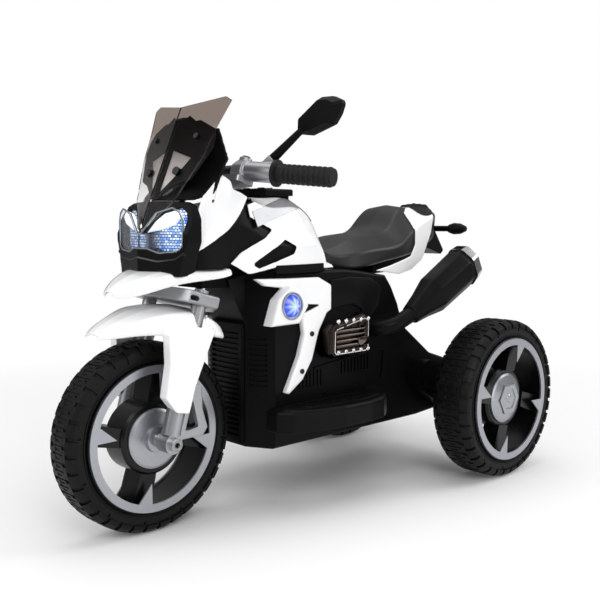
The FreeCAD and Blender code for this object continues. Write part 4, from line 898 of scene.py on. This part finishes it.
class MOTORBIKE_OT_flanks(bpy.types.Operator):
    """Models the raised blocks and rims on the body's flanks, and black plates in the recesses of the fairings as
    painted shade
    """
    bl_idname = "motorbike.flanks"
    bl_label = "Flanks"

    def execute(self, context):
        block = [(6, 400), (-44, 404), (-104, 399), (-132, 380), (-124, 346), (-98, 322), (-80, 322), (-78, 342),
                 (-52, 352), (8, 346)]
        raised = plate("flank_blocks", on_side(block, 0.0948), Vector((0, 0.0042, 0)), 0.002, 3)
        on_body(raised, "black_plastic")
        edge = [(46, 243), (-60, 254), (-136, 260), (-143, 254), (-137, 205), (-128, 199), (20, 193)]
        rim = strip("louvre_rims", on_side(edge, 0.0946), Vector((0, 0.0034, 0)), 0.0032)
        on_body(rim, "black_plastic")
        # Painted shade: a black plate laid on the floor of each fairing recess, where the recess is dark
        corners = on_side([(76.5, 360.5), (37.5, 358), (79.5, 345.7)], 0.0962)
        recess_shade = plate("fairing_recess_shades", corners, Vector((0, 0.0078, 0)), 0.0006)
        on_body(recess_shade, "black_plastic")
        return {"FINISHED"}


class MOTORBIKE_OT_trim(bpy.types.Operator):
    """Models the backing and pale panel of the screen, the black band under the tank and the spikes at its rear"""
    bl_idname = "motorbike.trim"
    bl_label = "Screen and tank trim"

    def execute(self, context):
        outline = [(1, 541), (1, 655), (4, 664), (21, 677), (38, 667), (48, 668), (80, 654), (90, 640), (92, 621),
                   (67, 571), (40, 563), (20, 550), (10, 541), (11, 552), (33, 577), (54, 606), (9, 620), (9, 552),
                   (8, 541)]
        backing = plate("screen_backing", on_screen(outline, 0.4785), Vector((-0.0018, 0, -0.0007)))
        on_body(backing, "black_plastic", (), 20)
        pale = [(2, 556), (2, 624), (56, 609), (36, 577), (14, 556)]
        panel = plate("screen_panel", on_screen(pale, 0.4758), Vector((-0.001, 0, -0.0004)))
        on_body(panel, "white_gloss", (), 20)
        plan = [(146, 107.2), (120, 107.8), (100, 107.2), (80, 105.8), (60, 103.6), (40, 101), (26, 98.6), (14, 91),
                (4, 82)]
        foot = [Vector((x * MM, y * MM, 0.4165)) for x, y in plan]
        on_body(strip("tank_band_low", foot, Vector((0, 0, 0.0145)), 0.002), "black_plastic")
        corners = [Vector(c) * MM for c in ((74, 50, 562), (66, 72, 553), (30, 74, 506), (50, 60, 541))]
        spike = line("tank_spikes", corners)
        bpy.ops.mesh.edge_face_add()
        bpy.ops.mesh.subdivide(number_cuts=7)
        self.laid_on(placed(spike), "tank_cover", 0.0006, 0.0016)
        on_body(spike, "black_plastic")
        return {"FINISHED"}

    def laid_on(self, piece, node, gap, thickness):
        """Lays a drawn face on a piece of the frame and gives it a thickness."""
        modified(piece, "SHRINKWRAP", target=frame["nodes"][node], wrap_method="NEAREST_SURFACEPOINT",
                 wrap_mode="OUTSIDE_SURFACE", offset=gap)
        modified(piece, "SOLIDIFY", thickness=thickness, offset=0)


class MOTORBIKE_PT_panel(bpy.types.Panel):
    """Lists the motorbike's pieces"""
    bl_idname = "MOTORBIKE_PT_panel"
    bl_label = "Motorbike"
    bl_space_type = "VIEW_3D"
    bl_region_type = "UI"
    bl_category = "Motorbike"

    def draw(self, context):
        for operator in OPERATORS:
            self.layout.operator(operator.bl_idname)


OPERATORS = (MOTORBIKE_OT_stage, MOTORBIKE_OT_finishes, MOTORBIKE_OT_tyres, MOTORBIKE_OT_mouldings,
             MOTORBIKE_OT_hubs, MOTORBIKE_OT_mirrors, MOTORBIKE_OT_lamps, MOTORBIKE_OT_engine,
             MOTORBIKE_OT_exhausts, MOTORBIKE_OT_flanks, MOTORBIKE_OT_trim)
CLASSES = (MotorbikeColours, MotorbikeSizes, *OPERATORS, MOTORBIKE_PT_panel)


def register():
    for item in CLASSES:
        bpy.utils.register_class(item)
    bpy.types.Scene.motorbike_colours = bpy.props.PointerProperty(type=MotorbikeColours)
    bpy.types.Scene.motorbike_sizes = bpy.props.PointerProperty(type=MotorbikeSizes)


def unregister():
    del bpy.types.Scene.motorbike_sizes
    del bpy.types.Scene.motorbike_colours
    for item in reversed(CLASSES):
        bpy.utils.unregister_class(item)


def main():
    register()
    bpy.ops.motorbike.stage()
    bpy.ops.motorbike.finishes()
    bpy.ops.motorbike.tyres()
    bpy.ops.motorbike.mouldings()
    bpy.ops.motorbike.hubs()
    bpy.ops.motorbike.mirrors()
    bpy.ops.motorbike.lamps()
    bpy.ops.motorbike.engine()
    bpy.ops.motorbike.exhausts()
    bpy.ops.motorbike.flanks()
    bpy.ops.motorbike.trim()
    clear_selection()


if __name__ == "__main__":
    main()
